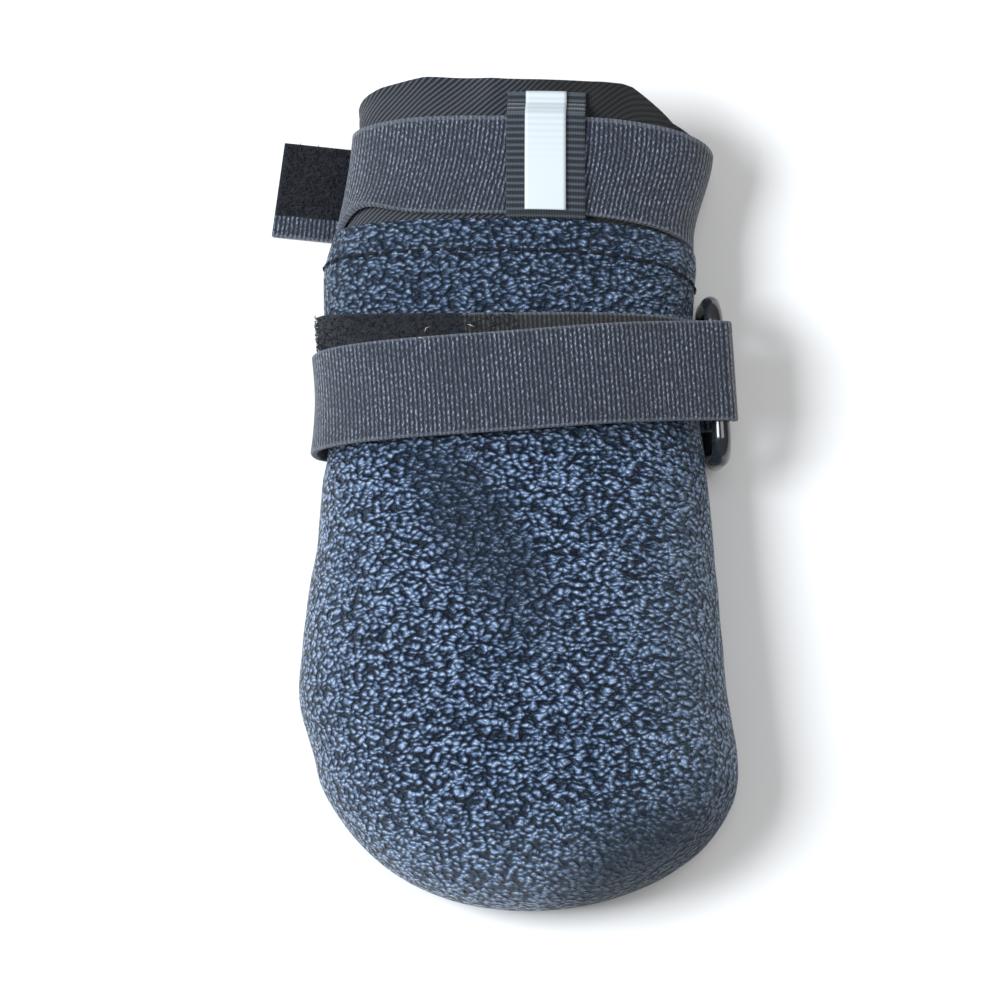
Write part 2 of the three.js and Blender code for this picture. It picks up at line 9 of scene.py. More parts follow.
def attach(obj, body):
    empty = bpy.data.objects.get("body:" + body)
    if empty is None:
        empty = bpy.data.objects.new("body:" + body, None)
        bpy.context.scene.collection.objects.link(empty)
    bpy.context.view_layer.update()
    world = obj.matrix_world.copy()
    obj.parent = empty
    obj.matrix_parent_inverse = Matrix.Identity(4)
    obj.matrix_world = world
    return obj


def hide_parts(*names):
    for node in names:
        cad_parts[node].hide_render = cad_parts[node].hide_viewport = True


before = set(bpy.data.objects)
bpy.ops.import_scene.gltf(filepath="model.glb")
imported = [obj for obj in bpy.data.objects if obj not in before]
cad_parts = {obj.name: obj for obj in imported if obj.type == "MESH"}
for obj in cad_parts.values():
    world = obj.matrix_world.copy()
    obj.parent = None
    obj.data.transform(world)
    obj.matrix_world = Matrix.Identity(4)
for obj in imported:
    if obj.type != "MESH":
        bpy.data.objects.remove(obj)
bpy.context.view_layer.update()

random.seed(7)

# Sizes in millimetres, as in the solids of the shoe
MM = 0.001

TOE_REACH = 42
HEEL_REACH = 42
CUFF_REACH = 116.5
TOE_ROUND = 27
HEEL_ROUND = 16
BALL_WIDTH = 82
TOE_HEIGHT = 34
SHAFT_WIDTH = 72
SHAFT_HEIGHT = 27
CUFF_WIDTH = 67.5
CUFF_HEIGHT = 23
FOOT_SIDE_LEVEL = 9
SHAFT_SIDE_LEVEL = 12

GAP = 0.3
LEATHER = 1.8
LINING = 1.2
INSOLE_THICKNESS = 1.5
INSOLE_GAP = 0.6
LASTING_MARGIN = 8
CUFF_TUCK = 20

STRAP_WIDTH = 19
STRAP_THICKNESS = 1.3
STRAP_SLACK = 0.15
TAB_LENGTH = 17
TAB_TURN_OUT = 0.13
RIBBON_WIDTH = 15
RIBBON_THICKNESS = 0.6
RIBBON_PLACE = 7.4
RIBBON_FOOT = 2.4
STRIPE_WIDTH = 7.8
STRIPE_THICKNESS = 0.25
RING_LENGTH = 33
RING_WIDTH = 17
RING_BAR = 3.5
RING_CORNER = 4.2
RING_PLACE = 58
RING_TURN = 15
RING_SLACK = 1.3
RING_TAB_WIDTH = 17
FOLD_LEAD = 15

SOLE_INSET = 2.6
SOLE_EDGE = 0.9
TOE_SPRING = 1.1
TREAD_PITCH = 9
TREAD_GROOVE = 2.2
TREAD_DEPTH = 1

UNDER_LEVEL = 2 * (STRAP_THICKNESS + GAP) + STRAP_SLACK
CUFF_LIFT = -(LEATHER + GAP)
HEM_LEVEL = UNDER_LEVEL + CUFF_LIFT
HEM_GAP = RIBBON_THICKNESS + 2 * GAP
SAG_FROM = 0.8
SAG_TO = 0.93

# Strap line round the shaft, in shares of the cuff's reach
COLLAR_ROWS = [
    {"turn": -180, "strap": 0.852},
    {"turn": -90, "strap": 0.826},
    {"turn": -40, "strap": 0.805},
    {"turn": 0, "strap": 0.801},
    {"turn": 20, "strap": 0.813},
    {"turn": 38, "strap": 0.826},
    {"turn": 54, "strap": 0.835},
    {"turn": 66, "strap": 0.841},
    {"turn": 90, "strap": 0.848},
    {"turn": 125, "strap": 0.855},
    {"turn": 150, "strap": 0.852},
    {"turn": 180, "strap": 0.846},
    {"turn": 225, "strap": 0.845},
    {"turn": 270, "strap": 0.845},
]

# Centre line of the instep strap, in shares of the ring's place
INSTEP_ROWS = [
    {"step": 0, "along": 1.1},
    {"step": 0.25, "along": 1.09},
    {"step": 0.5, "along": 1.045},
    {"step": 1, "along": 1.03},
    {"step": 2, "along": 1.02},
    {"step": 2.4, "along": 0.965},
    {"step": 2.7, "along": 0.945},
    {"step": 3, "along": 0.94},
]

FOOT_ROWS = [
    {"along": -0.99, "lean": 0.055, "half": 0.97, "crown": 0.96, "square": 6, "round": 2.3},
    {"along": -0.345, "lean": 0.05, "half": 0.972, "crown": 0.98, "square": 6, "round": 2.3},
    {"along": -0.02, "lean": -0.015, "half": 0.993, "crown": 1, "square": 6, "round": 2.35},
    {"along": 0.2, "lean": -0.019, "half": 0.978, "crown": 0.985, "square": 6, "round": 2.35},
    {"along": 0.42, "lean": -0.018, "half": 0.957, "crown": 0.945, "square": 5.6, "round": 2.35},
    {"along": 0.64, "lean": -0.008, "half": 0.927, "crown": 0.895, "square": 4.8, "round": 2.4},
    {"along": 0.88, "lean": -0.004, "half": 0.905, "crown": 0.85, "square": 3.8, "round": 2.4},
]
SHAFT_ROWS = [
    {"along": 0.62, "lean": 0, "half": 0.98, "crown": 1.03, "square": 2.5, "round": 2.45},
    {"along": 0.8, "lean": -0.03, "half": 0.985, "crown": 1.01, "square": 2.4, "round": 2.5},
    {"along": 0.92, "lean": -0.025, "half": 1, "crown": 1, "square": 2.4, "round": 2.5},
    {"along": 1, "lean": 0, "half": 0.98, "crown": 0.98, "square": 2.4, "round": 2.5},
]
CUFF_ROWS = [
    {"along": 0.87, "lean": 0.09, "half": 1, "crown": 1.04, "square": 2.4, "round": 2.4},
    {"along": 1, "lean": 0.12, "half": 0.99, "crown": 1, "square": 2.4, "round": 2.3},
]


def smoothstep(value, low, high):
    t = np.clip((np.asarray(value, float) - low) / (high - low), 0, 1)
    return t * t * (3 - 2 * t)


class Table:
    """Smooth reading of named columns between the rows of a table."""

    def __init__(self, rows, key):
        self.keys = np.array([row[key] for row in rows], float)
        self.columns = {name: np.array([row[name] for row in rows], float) for name in rows[0]}

    def read(self, name, at):
        keys, values, last = self.keys, self.columns[name], len(self.keys) - 1
        t = np.clip(at, keys[0], keys[-1])
        i = np.clip(np.searchsorted(keys, t, side="right"), 1, last)
        before = np.where(i > 1, i - 2, i)
        after = np.where(i < last, i + 1, i - 1)
        span = keys[i] - keys[i - 1]
        lead = span / 2 / (keys[i - 1] - keys[before])
        trail = span / 2 / (keys[after] - keys[i])
        p = (t - keys[i - 1]) / span
        q, r = p * p, p * p * p
        return (
            (-lead * r + 2 * lead * q - lead * p) * values[before]
            + ((1 + lead) * r + (-1.5 - 2 * lead) * q + (-0.5 + lead) * p + 1) * values[i - 1]
            + ((-1 - trail) * r + (1.5 + trail) * q + 0.5 * p) * values[i]
            + (trail * r - trail * q) * values[after]
        )


collar_table = Table(COLLAR_ROWS, "turn")
instep_table = Table(INSTEP_ROWS, "step")


def strap_line(turn):
    return collar_table.read("strap", turn) * CUFF_REACH


def hem_line(turn):
    turn = np.asarray(turn, float)
    return np.minimum(strap_line(turn), strap_line(turn - 360)) - STRAP_WIDTH / 2 - HEM_GAP


SHAFT_REACH = float(hem_line(90))


def section_row(row, reach, half_width, height, grown):
    return {
        "y": row["along"] * reach,
        "lean": row["lean"] * half_width,
        "half": row["half"] * half_width + grown,
        "crown": row["crown"] * height + grown,
        "square": row["square"],
        "round": row["round"],
    }


section_table = Table(
    [section_row(row, HEEL_REACH, BALL_WIDTH / 2, TOE_HEIGHT, 0) for row in FOOT_ROWS]
    + [section_row(row, SHAFT_REACH, SHAFT_WIDTH / 2, SHAFT_HEIGHT, 0) for row in SHAFT_ROWS]
    + [section_row(row, CUFF_REACH, CUFF_WIDTH / 2, CUFF_HEIGHT, -CUFF_LIFT) for row in CUFF_ROWS],
    "y",
)


def toe_share(y, out, power):
    depth = np.clip((TOE_ROUND - TOE_REACH - y) / (TOE_ROUND + out), 0, 1)
    return np.maximum(0, 1 - depth ** power) ** (1 / power)


def section(y, out):
    y = np.asarray(y, float)
    slack = smoothstep(y, SAG_FROM * SHAFT_REACH, SAG_TO * SHAFT_REACH)
    rise = smoothstep(y, HEEL_REACH / 2, RING_PLACE)
    level = FOOT_SIDE_LEVEL + (SHAFT_SIDE_LEVEL - FOOT_SIDE_LEVEL) * rise
    under = UNDER_LEVEL + (HEM_LEVEL - UNDER_LEVEL) * slack
    return {
        "lean": section_table.read("lean", y),
        "half": (section_table.read("half", y) + out) * toe_share(y, out, 2),
        "up": (section_table.read("crown", y) - level + out) * toe_share(y, out, 2),
        "down": (level - under + out) * toe_share(y, out, 4),
        "square": section_table.read("square", y),
        "round": section_table.read("round", y),
        "level": level,
    }


def skin(y, turn, out):
    """Points of the shoe's surface, grown outwards by out: y along the shoe, turn round it."""
    y, turn = np.broadcast_arrays(np.asarray(y, float), np.asarray(turn, float))
    row = section(y, out)
    c, s = np.cos(np.radians(turn)), np.sin(np.radians(turn))
    power = 2 / np.where(s >= 0, row["round"], row["square"])
    x = row["lean"] + row["half"] * np.sign(c) * np.abs(c) ** power
    z = row["level"] + np.where(s >= 0, row["up"], -row["down"]) * np.abs(s) ** power
    return np.stack([x, y, z], -1)


def underside(x, y, out):
    row = section(y, out)
    share = np.clip(np.abs(x - row["lean"]) / np.maximum(row["half"], 1e-6), 0, 1)
    return row["level"] - row["down"] * (1 - share ** row["square"]) ** (1 / row["square"])


def half_at_level(y, z, out):
    row = section(y, out)
    share = (row["level"] - z) / np.maximum(row["down"], 1e-6)
    inside = np.clip(1 - np.clip(share, 0, 1) ** row["square"], 0, 1) ** (1 / row["square"])
    return np.where(share >= 1, -1, row["half"] * inside)


def even_turns(first, last, count, y, out):
    """Angles that divide the section at y into steps of one length."""
    turns = np.linspace(first, last, 3001)
    steps = np.linalg.norm(np.diff(skin(y, turns, out), axis=0), axis=1)
    run = np.concatenate([[0], np.cumsum(steps)])
    return np.interp(np.linspace(0, run[-1], count + 1), run, turns)


# Modelling by hand: selection, grids laid on a surface, walls, finishes
def deselect():
    for piece in bpy.context.selected_objects:
        piece.select_set(False)


def take_up(piece):
    deselect()
    piece.select_set(True)
    bpy.context.view_layer.objects.active = piece


def run_lengths(points, axis):
    steps = np.linalg.norm(np.diff(points, axis=axis), axis=2)
    middle = steps[:, steps.shape[1] // 2] if axis == 0 else steps[steps.shape[0] // 2]
    return np.concatenate([[0], np.cumsum(middle)])


def laid_grid(name, points, flip=False):
    """A grid whose corners are laid on rows of points; its map is in metres along the rows and columns."""
    rows, columns = points.shape[0] - 1, points.shape[1] - 1
    deselect()
    bpy.ops.mesh.primitive_grid_add(x_subdivisions=columns, y_subdivisions=rows, size=1)
    piece = bpy.context.object
    piece.name = piece.data.name = name
    mesh = piece.data
    places = np.empty(len(mesh.vertices) * 3)
    mesh.vertices.foreach_get("co", places)
    places = places.reshape(-1, 3)
    i = np.rint((places[:, 0] + 0.5) * columns).astype(int)
    j = np.rint((places[:, 1] + 0.5) * rows).astype(int)
    mesh.vertices.foreach_set("co", (points[j, i] * MM).ravel())
    across, down = run_lengths(points, 1) * MM, run_lengths(points, 0) * MM
    layer = mesh.uv_layers[0]
    layer.name = "lay"
    spots = np.empty(len(mesh.loops) * 2)
    layer.data.foreach_get("uv", spots)
    spots = spots.reshape(-1, 2)
    spots[:, 0] = np.interp(spots[:, 0], np.linspace(0, 1, columns + 1), across)
    spots[:, 1] = np.interp(spots[:, 1], np.linspace(0, 1, rows + 1), down)
    layer.data.foreach_set("uv", spots.ravel())
    mesh.update()
    take_up(piece)
    bpy.ops.object.mode_set(mode="EDIT")
    bpy.ops.mesh.select_all(action="SELECT")
    bpy.ops.mesh.remove_doubles(threshold=0.00001)
    if flip:
        bpy.ops.mesh.flip_normals()
    bpy.ops.object.mode_set(mode="OBJECT")
    bpy.ops.object.shade_smooth()
    return piece


def pick_nothing(piece):
    """Leaves no corner, edge or face of the piece selected, ready for faces to be picked."""
    take_up(piece)
    bpy.ops.object.mode_set(mode="EDIT")
    bpy.ops.mesh.select_mode(type="FACE")
    bpy.ops.mesh.select_all(action="DESELECT")
    bpy.ops.object.mode_set(mode="OBJECT")


def face_outwards(piece):
    take_up(piece)
    bpy.ops.object.mode_set(mode="EDIT")
    bpy.ops.mesh.select_all(action="SELECT")
    bpy.ops.mesh.normals_make_consistent(inside=False)
    bpy.ops.object.mode_set(mode="OBJECT")


def give_wall(piece, thickness, offset):
    """Turns a sheet into a wall: offset -1 grows it inwards, 0 to both sides."""
    take_up(piece)
    wall = piece.modifiers.new("wall", "SOLIDIFY")
    wall.thickness = thickness * MM
    wall.offset = offset
    bpy.ops.object.modifier_apply(modifier="wall")


def round_edges(piece, width, angle=50):
    take_up(piece)
    bevel = piece.modifiers.new("edges", "BEVEL")
    bevel.width = width * MM
    bevel.segments = 2
    bevel.limit_method = "ANGLE"
    bevel.angle_limit = math.radians(angle)
    bpy.ops.object.modifier_apply(modifier="edges")


def join(name, pieces):
    deselect()
    for piece in pieces:
        piece.select_set(True)
    bpy.context.view_layer.objects.active = pieces[0]
    bpy.ops.object.join()
    whole = bpy.context.object
    whole.name = whole.data.name = name
    return whole


def pick_faces(piece, finish, wanted):
    """Lays the second finish on the faces that are wanted by their place, direction and map."""
    layer = piece.data.uv_layers["lay"].data
    for face in piece.data.polygons:
        lay = sum((layer[k].uv for k in face.loop_indices), Vector((0, 0))) / face.loop_total
        if wanted(face.center / MM, face.normal, lay / MM):
            face.material_index = finish


def complete(piece, node, slot, *finishes):
    """Gives a piece its finishes and its body, in place of the solid of that name; the slot is not used."""
    for finish in finishes:
        piece.data.materials.append(finish)
    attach(piece, "root")
    if node:
        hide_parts(node)
    return piece


def normals_of(points):
    """Unit normals of rows of points, pointing away from the shoe's middle."""
    along = np.gradient(points, axis=0)
    across = np.gradient(points, axis=1)
    if np.allclose(points[:, 0], points[:, -1], atol=1e-4):
        across[:, 0] = across[:, -1] = points[:, 1] - points[:, -2]
    normal = np.cross(across, along)
    length = np.linalg.norm(normal, axis=2, keepdims=True)
    return normal / np.maximum(length, 1e-9)


def unevenness(points, size, amount, seed):
    """Soft random swelling of the surface, with lumps of that size."""
    flat = points.reshape(-1, 3) / size + seed
    values = np.array([noise.noise(Vector(place)) for place in flat])
    return (values * amount).reshape(points.shape[:-1])


# Creases of the leather, each from one plan point to another: a trough where depth is positive,
# a ridge where it is negative. half is the half width of the crease.
CREASES = [
    {"x0": -13, "y0": 45, "x1": -2, "y1": 25, "half": 8, "depth": 3.6},
    {"x0": -2, "y0": 25, "x1": 5, "y1": 13, "half": 8, "depth": 2.4},
    {"x0": -29, "y0": 43, "x1": -22, "y1": 16, "half": 6, "depth": -0.6},
    {"x0": 13, "y0": 46, "x1": 17, "y1": 20, "half": 7, "depth": -0.7},
    {"x0": 4, "y0": -34.5, "x1": 22, "y1": -31, "half": 1.6, "depth": 0.8},
    {"x0": 22, "y0": -31, "x1": 33, "y1": -25, "half": 1.6, "depth": 0.9},
    {"x0": 4, "y0": -30.5, "x1": 24, "y1": -27, "half": 2.4, "depth": -0.3},
    {"x0": -34, "y0": 79, "x1": -6, "y1": 78, "half": 3.5, "depth": 0.9},
    {"x0": -30, "y0": 74, "x1": 10, "y1": 72, "half": 4, "depth": 0.8},
    {"x0": 6, "y0": 79, "x1": 30, "y1": 80, "half": 3, "depth": 0.35},
    {"x0": -33, "y0": -2, "x1": -27, "y1": -12, "half": 6, "depth": 0.35},
]


def creased(x, y):
    total = np.zeros_like(x)
    for crease in CREASES:
        run = np.array([crease["x1"] - crease["x0"], crease["y1"] - crease["y0"]], float)
        along = ((x - crease["x0"]) * run[0] + (y - crease["y0"]) * run[1]) / run.dot(run)
        along = np.clip(along, 0, 1)
        away = np.hypot(x - crease["x0"] - along * run[0], y - crease["y0"] - along * run[1])
        total -= crease["depth"] * np.exp(-(away / crease["half"]) ** 2)
    return total


SEAM_DROP = 6.2
STITCH_PITCH = 3.1


def seam_place(turn):
    return hem_line(turn) - SEAM_DROP


def hemmed(y, turn):
    fade = smoothstep(y, HEEL_REACH, SHAFT_REACH)
    return y + (hem_line(turn) - SHAFT_REACH) * fade


def upper_points():
    columns, toe_rows, rows = 250, 34, 112
    turns = even_turns(-90, 270, columns, 20, 0)
    toe = -TOE_REACH + 1e-4
    turn_in = TOE_ROUND - TOE_REACH
    cap = toe + (turn_in - toe) * (1 - np.cos(np.linspace(0, math.pi / 2, toe_rows + 1)[:-1]))
    places = np.concatenate([cap, np.linspace(turn_in, SHAFT_REACH, rows + 1)])
    y, turn = np.meshgrid(places, turns, indexing="ij")
    points = skin(hemmed(y, turn), turn, 0)
    # The inner toe corner is rounder than the outer one
    drawn_in = 1.9 * np.exp(-((points[..., 1] + 30.5) / 9) ** 2) - 0.5 * np.exp(-((points[..., 1] + 8) / 6) ** 2)
    inner = smoothstep(section_table.read("lean", points[..., 1]) - points[..., 0], 5, 20)
    points[..., 0] += drawn_in * inner
    pole = points[0].mean(axis=0)
    points[0] = pole
    normal = normals_of(points)
    upper_half = smoothstep(np.sin(np.radians(turn)), -0.3, 0.1)
    top = smoothstep(normal[..., 2], 0.05, 0.5) * upper_half
    side = smoothstep(normal[..., 2], -0.5, 0.1) * upper_half
    swell = creased(points[..., 0], points[..., 1]) * top
    # Holes of the topstitch pull small dents, and the seam line sinks between two soft welts
    seam = points[..., 1] - seam_place(turn)
    run = points[..., 0] / STITCH_PITCH
    dent = 0.5 - 0.5 * np.cos(2 * np.pi * run)
    swell -= top * np.exp(-(seam / 1.2) ** 2) * (0.35 + 0.5 * dent)
    swell += top * 0.4 * np.exp(-((np.abs(seam) - 2.6) / 1.4) ** 2) * (1.3 - 0.6 * dent)
    swell += top * unevenness(points, 3.6, 0.7, 5.3) * np.exp(-((seam - 1.5) / 4) ** 2)
    strap_y = strap_place(points[..., 0])
    under_strap = 1 - smoothstep(np.abs(points[..., 1] - strap_y), 11, 14)
    lumps = unevenness(points, 16, 0.8, 3.1) * (0.35 + 0.65 * top) + unevenness(points, 6, 0.25, 9.4)
    swell += (lumps - 0.25) * side * (1 - under_strap) * smoothstep(points[..., 1], -TOE_REACH, -30)
    swell = np.where(under_strap > 0, np.minimum(swell, 0.1 + 2 * (1 - under_strap)), swell)
    hem = smoothstep(SHAFT_REACH - hemmed_back(points[..., 1], turn), 0, 3)
    swell *= np.where(points[..., 1] > 70, hem, 1)
    return points + normal * swell[..., None]


def hemmed_back(y, turn):
    return y - (hem_line(turn) - SHAFT_REACH)


def strap_place(x):
    """Centre of the instep strap's upper layer over the plan place x."""
    step = 2 + np.clip((40 - x) / 80, 0, 1)
    return instep_table.read("along", step) * RING_PLACE


def make_upper():
    piece = laid_grid("upper_leather", upper_points(), flip=True)
    opening = SOLE_INSET + LASTING_MARGIN
    pick_nothing(piece)
    for face in piece.data.polygons:
        x, y, z = face.center / MM
        inside = abs(x - section_table.read("lean", y)) < section_table.read("half", y) - opening
        long_enough = -TOE_REACH + opening < y < HEEL_REACH - opening
        round_toe = smoothstep(-y, TOE_REACH - TOE_ROUND, TOE_REACH - opening / 2) < 0.7
        face.select = bool(face.normal.z < -0.8 and z < UNDER_LEVEL + 1 and inside and long_enough and round_toe)
    bpy.ops.object.mode_set(mode="EDIT")
    bpy.ops.mesh.delete(type="FACE")
    bpy.ops.object.mode_set(mode="OBJECT")
    give_wall(piece, LEATHER, -1)
    return piece


def foot_loop(inset, height, count=144):
    f = np.linspace(0, 1, count + 1)
    toe = -TOE_REACH + inset
    heel = HEEL_REACH - inset + SOLE_INSET
    y = toe + (heel - toe) * (1 - np.cos(f * 2 * math.pi)) / 2
    toe_depth = np.maximum(0, (TOE_ROUND - TOE_REACH - y) / (TOE_ROUND - inset))
    heel_depth = np.maximum(0, (y - HEEL_REACH + HEEL_ROUND) / (HEEL_ROUND - inset + SOLE_INSET))
    rounding = np.sqrt(np.maximum(0, 1 - toe_depth ** 2)) * np.sqrt(np.maximum(0, 1 - heel_depth ** 2))
    half = (section_table.read("half", y) - inset) * rounding
    x = section_table.read("lean", y) + np.where(f < 0.5, -half, half)
    return np.stack([x, y, height(x, y) + 0 * x], -1)


def make_sole():
    def spring(x, y):
        return TOE_SPRING * smoothstep(-y, TOE_REACH - TOE_ROUND, TOE_REACH)

    def middle(z):
        return np.broadcast_to(np.array([0.0, 0.0, z]), (145, 3))

    opening = SOLE_INSET + LASTING_MARGIN
    loops = [middle(0), foot_loop(opening, spring)]
    for turn in np.linspace(0, math.pi / 2, 6):
        inset = SOLE_INSET + SOLE_EDGE * (1 - math.sin(turn))
        rise = SOLE_EDGE * (1 - math.cos(turn))
        loops.append(foot_loop(inset, lambda x, y, rise=rise: spring(x, y) + rise))
    for share in (0, 0.06, 0.15, 0.25, 0.5):
        loops.append(foot_loop(SOLE_INSET + LASTING_MARGIN * share, lambda x, y: underside(x, y, GAP)))
    loops.append(foot_loop(opening + GAP, lambda x, y: UNDER_LEVEL - GAP))
    loops.append(foot_loop(opening + GAP, lambda x, y: UNDER_LEVEL + LEATHER))
    loops.append(middle(UNDER_LEVEL + LEATHER))
    piece = laid_grid("rubber_sole", np.stack(loops))
    face_outwards(piece)
    grooves = int((TOE_REACH + HEEL_REACH) / 2 // TREAD_PITCH)
    bars = []
    for i in [*range(-grooves, 0), *range(1, grooves + 1)]:
        deselect()
        place = (0, (i - math.copysign(0.5, i)) * TREAD_PITCH * MM, 0)
        bpy.ops.mesh.primitive_cube_add(size=1, location=place)
        bar = bpy.context.object
        bar.scale = (BALL_WIDTH * MM, TREAD_GROOVE * MM, 2 * TREAD_DEPTH * MM)
        bpy.ops.object.transform_apply(location=True, rotation=True, scale=True)
        bars.append(bar)
    cutter = join("groove_cutter", bars)
    take_up(piece)
    cut = piece.modifiers.new("grooves", "BOOLEAN")
    cut.operation = "DIFFERENCE"
    cut.object = cutter
    bpy.ops.object.modifier_apply(modifier="grooves")
    bpy.data.objects.remove(cutter)
    bpy.ops.object.shade_smooth_by_angle(angle=math.radians(35))
    return piece


def make_insole():
    low = UNDER_LEVEL + LEATHER + GAP

    def loop(z, inset):
        def inside(y):
            return half_at_level(y - 2 * INSOLE_GAP, z, -LEATHER) - INSOLE_GAP - inset

        out, toe = -TOE_REACH, 0
        while toe - out > 1e-4:
            middle = (toe + out) / 2
            out, toe = (out, middle) if inside(middle) > 0 else (middle, toe)
        f = np.linspace(0, 1, 121)
        y = toe + (HEEL_REACH - inset - toe) * (1 - np.cos(f * 2 * math.pi)) / 2
        depth = np.maximum(0, (y - HEEL_REACH + HEEL_ROUND) / HEEL_ROUND)
        half = np.maximum(0, inside(y)) * np.sqrt(np.maximum(0, 1 - depth ** 2))
        x = section_table.read("lean", y) + np.where(f < 0.5, -half, half)
        return np.stack([x, y, z + 0 * x], -1)

    middle = [np.broadcast_to(np.array([0.0, 0.0, z]), (121, 3)) for z in (low, low + INSOLE_THICKNESS)]
    edge_rows = ((0, 0.2), (0.3, 0), (0.8, 0), (1, 0.4))
    rounded = [loop(low + INSOLE_THICKNESS * share, inset) for share, inset in edge_rows]
    piece = laid_grid("foot_bed", np.stack([middle[0], *rounded, middle[1]]))
    face_outwards(piece)
    return piece


# The collar's own edge is a straight-sided line with small corners: turns, then shares of the cuff's reach
COLLAR_EDGE = (
    [-90, -40, 0, 20, 38, 57, 61, 90, 125, 148, 164, 176, 200, 225, 270],
    [0.935, 0.9, 0.884, 0.897, 0.922, 0.98, 0.986, 0.996, 1.009, 0.999, 0.985, 0.972, 0.962, 0.95, 0.935],
)


def make_cuff():
    turns = np.linspace(-90, 270, 241)
    f, turn = np.meshgrid(np.linspace(0, 1, 61), turns, indexing="ij")
    start = SHAFT_REACH - CUFF_TUCK
    collar = np.interp(turn, *COLLAR_EDGE) * CUFF_REACH
    y = start + (collar - start) * f
    points = skin(y, turn, CUFF_LIFT)
    normal = normals_of(points)
    free = smoothstep(y - strap_line(turn), 8, 13)
    beside = smoothstep(np.abs(points[..., 0] - RIBBON_PLACE), RIBBON_WIDTH / 2, RIBBON_WIDTH / 2 + 4)
    above = smoothstep(points[..., 2], SHAFT_SIDE_LEVEL, SHAFT_SIDE_LEVEL + 4)
    waves = unevenness(points, 11, 0.9, 5.2) - 0.15
    waves = np.where(above > 0, np.minimum(waves, beside), waves) * np.maximum(beside, 1 - above)
    roll = np.exp(-((collar - y) / 0.9) ** 2) * 0.35
    points = points + normal * (free * waves - roll)[..., None]
    piece = laid_grid("lining_cuff", points, flip=True)
    give_wall(piece, LINING, -1)
    round_edges(piece, 0.3)
    return piece


def ankle_points(along, across, lift=0.0):
    """The ankle strap's middle layer: along from 0 to 1 over its length, across in millimetres."""
    inner = CUFF_LIFT + GAP + STRAP_SLACK
    second = inner + STRAP_THICKNESS + GAP
    first, leave = 262.5, -127.5
    wrap = 0.9
    along, across = np.broadcast_arrays(np.asarray(along, float), np.asarray(across, float))
    turn = np.interp(along / wrap, np.linspace(0, 1, 401), ankle_turns)
    layer = second + (inner - second) * smoothstep(turn, -75, -20)
    edge = np.clip(-across / (STRAP_WIDTH / 2), 0, 1) ** 2
    curl = np.exp(-((turn - 143) / 17) ** 2) * edge
    y = strap_line(turn) + across + 2.6 * curl
    wrapped = skin(y, turn, layer + STRAP_THICKNESS / 2 + lift + 0.9 * curl)
    end = skin(strap_line(leave) + across, leave, second + STRAP_THICKNESS / 2)
    start = skin(strap_line(leave), leave, second)[..., 0]
    reach = section(strap_line(leave), 0)["lean"] - CUFF_WIDTH / 2 - TAB_LENGTH
    f = np.clip((along - wrap) / (1 - wrap), 0, 1)
    x = start + (reach - start) * f + across * TAB_TURN_OUT * f
    tab_y = strap_line(leave) + across + (start - reach) * TAB_TURN_OUT * f
    level = end[..., 2] + (STRAP_THICKNESS / 2 - end[..., 2]) * smoothstep(f, 0, 0.3)
    tab = np.stack([x, tab_y, level - lift], -1)
    return np.where((along > wrap)[..., None], tab, wrapped)


ankle_turns = even_turns(262.5, -127.5, 400, 98, 0)


def strap_sheet(name, surface, length_steps, width, flip=False):
    shares = np.linspace(0, 1, length_steps + 1)
    along, across = np.meshgrid(shares, np.linspace(-0.5, 0.5, 23) * width, indexing="ij")
    points = surface(along, across).transpose(1, 0, 2)
    return laid_grid(name, points, flip)


def turn_over(x, y):
    row = section(y, 0)
    share = np.clip((x - row["lean"]) / row["half"], -1, 1)
    return np.degrees(np.arccos(np.sign(share) * np.abs(share) ** (row["round"] / 2)))


OVER_STRAP = CUFF_LIFT + GAP + STRAP_SLACK + STRAP_THICKNESS + GAP


def ribbon_route():
    front = -STRAP_WIDTH / 2 - GAP
    back = STRAP_WIDTH / 2 + GAP
    on_cuff = CUFF_LIFT + GAP
    half_way = (OVER_STRAP + on_cuff) / 2
    return [
        (front, on_cuff, -1, 0),
        (front, OVER_STRAP - 0.35, -1, 0),
        (front + 0.2, OVER_STRAP, -0.7, 0.9),
        (front + (back - front) * 0.35, OVER_STRAP, 0, 1),
        (front + (back - front) * 0.7, OVER_STRAP, 0, 1),
        (back, OVER_STRAP, 0.2, 1),
        (back + 1.2, half_way, 0.4, 0.9),
        (back + 2.4, on_cuff, 0.2, 1),
        (back + 2.4 + RIBBON_FOOT, on_cuff, 0, 1),
    ]


def ribbon_points(route, width, low, half, steps, columns):
    """Rows of points over the ankle strap: each row of the route runs across the ribbon."""
    route = np.array(route, float)
    run = np.concatenate([[0], np.cumsum(np.hypot(np.diff(route[:, 0]), np.diff(route[:, 1])))])
    at = np.linspace(0, run[-1], steps + 1)
    start, out, lean_y, lean_z = (np.interp(at, run, route[:, k])[:, None] for k in range(4))
    x = (RIBBON_PLACE + np.linspace(-0.5, 0.5, columns + 1) * width)[None, :] + 0 * start
    y = strap_line(turn_over(x, strap_line(90))) + start + lean_y * half
    z = skin(y, turn_over(x, y), out + low + lean_z * half)[..., 2]
    return np.stack([x, y, z], -1)


def make_keeper():
    points = ribbon_points(ribbon_route(), RIBBON_WIDTH, 0, RIBBON_THICKNESS / 2, 70, 26)
    piece = laid_grid("ribbon_loop", points)
    give_wall(piece, RIBBON_THICKNESS, 0)
    round_edges(piece, 0.15)
    return piece


def make_stripe():
    route = ribbon_route()[3:]
    first = route[0]
    route.insert(0, (-STRAP_WIDTH / 2 + GAP, *first[1:]))
    points = ribbon_points(route, STRIPE_WIDTH, RIBBON_THICKNESS + GAP, STRIPE_THICKNESS / 2, 60, 12)
    piece = laid_grid("reflective_tape", points)
    give_wall(piece, STRIPE_THICKNESS, 0)
    return piece


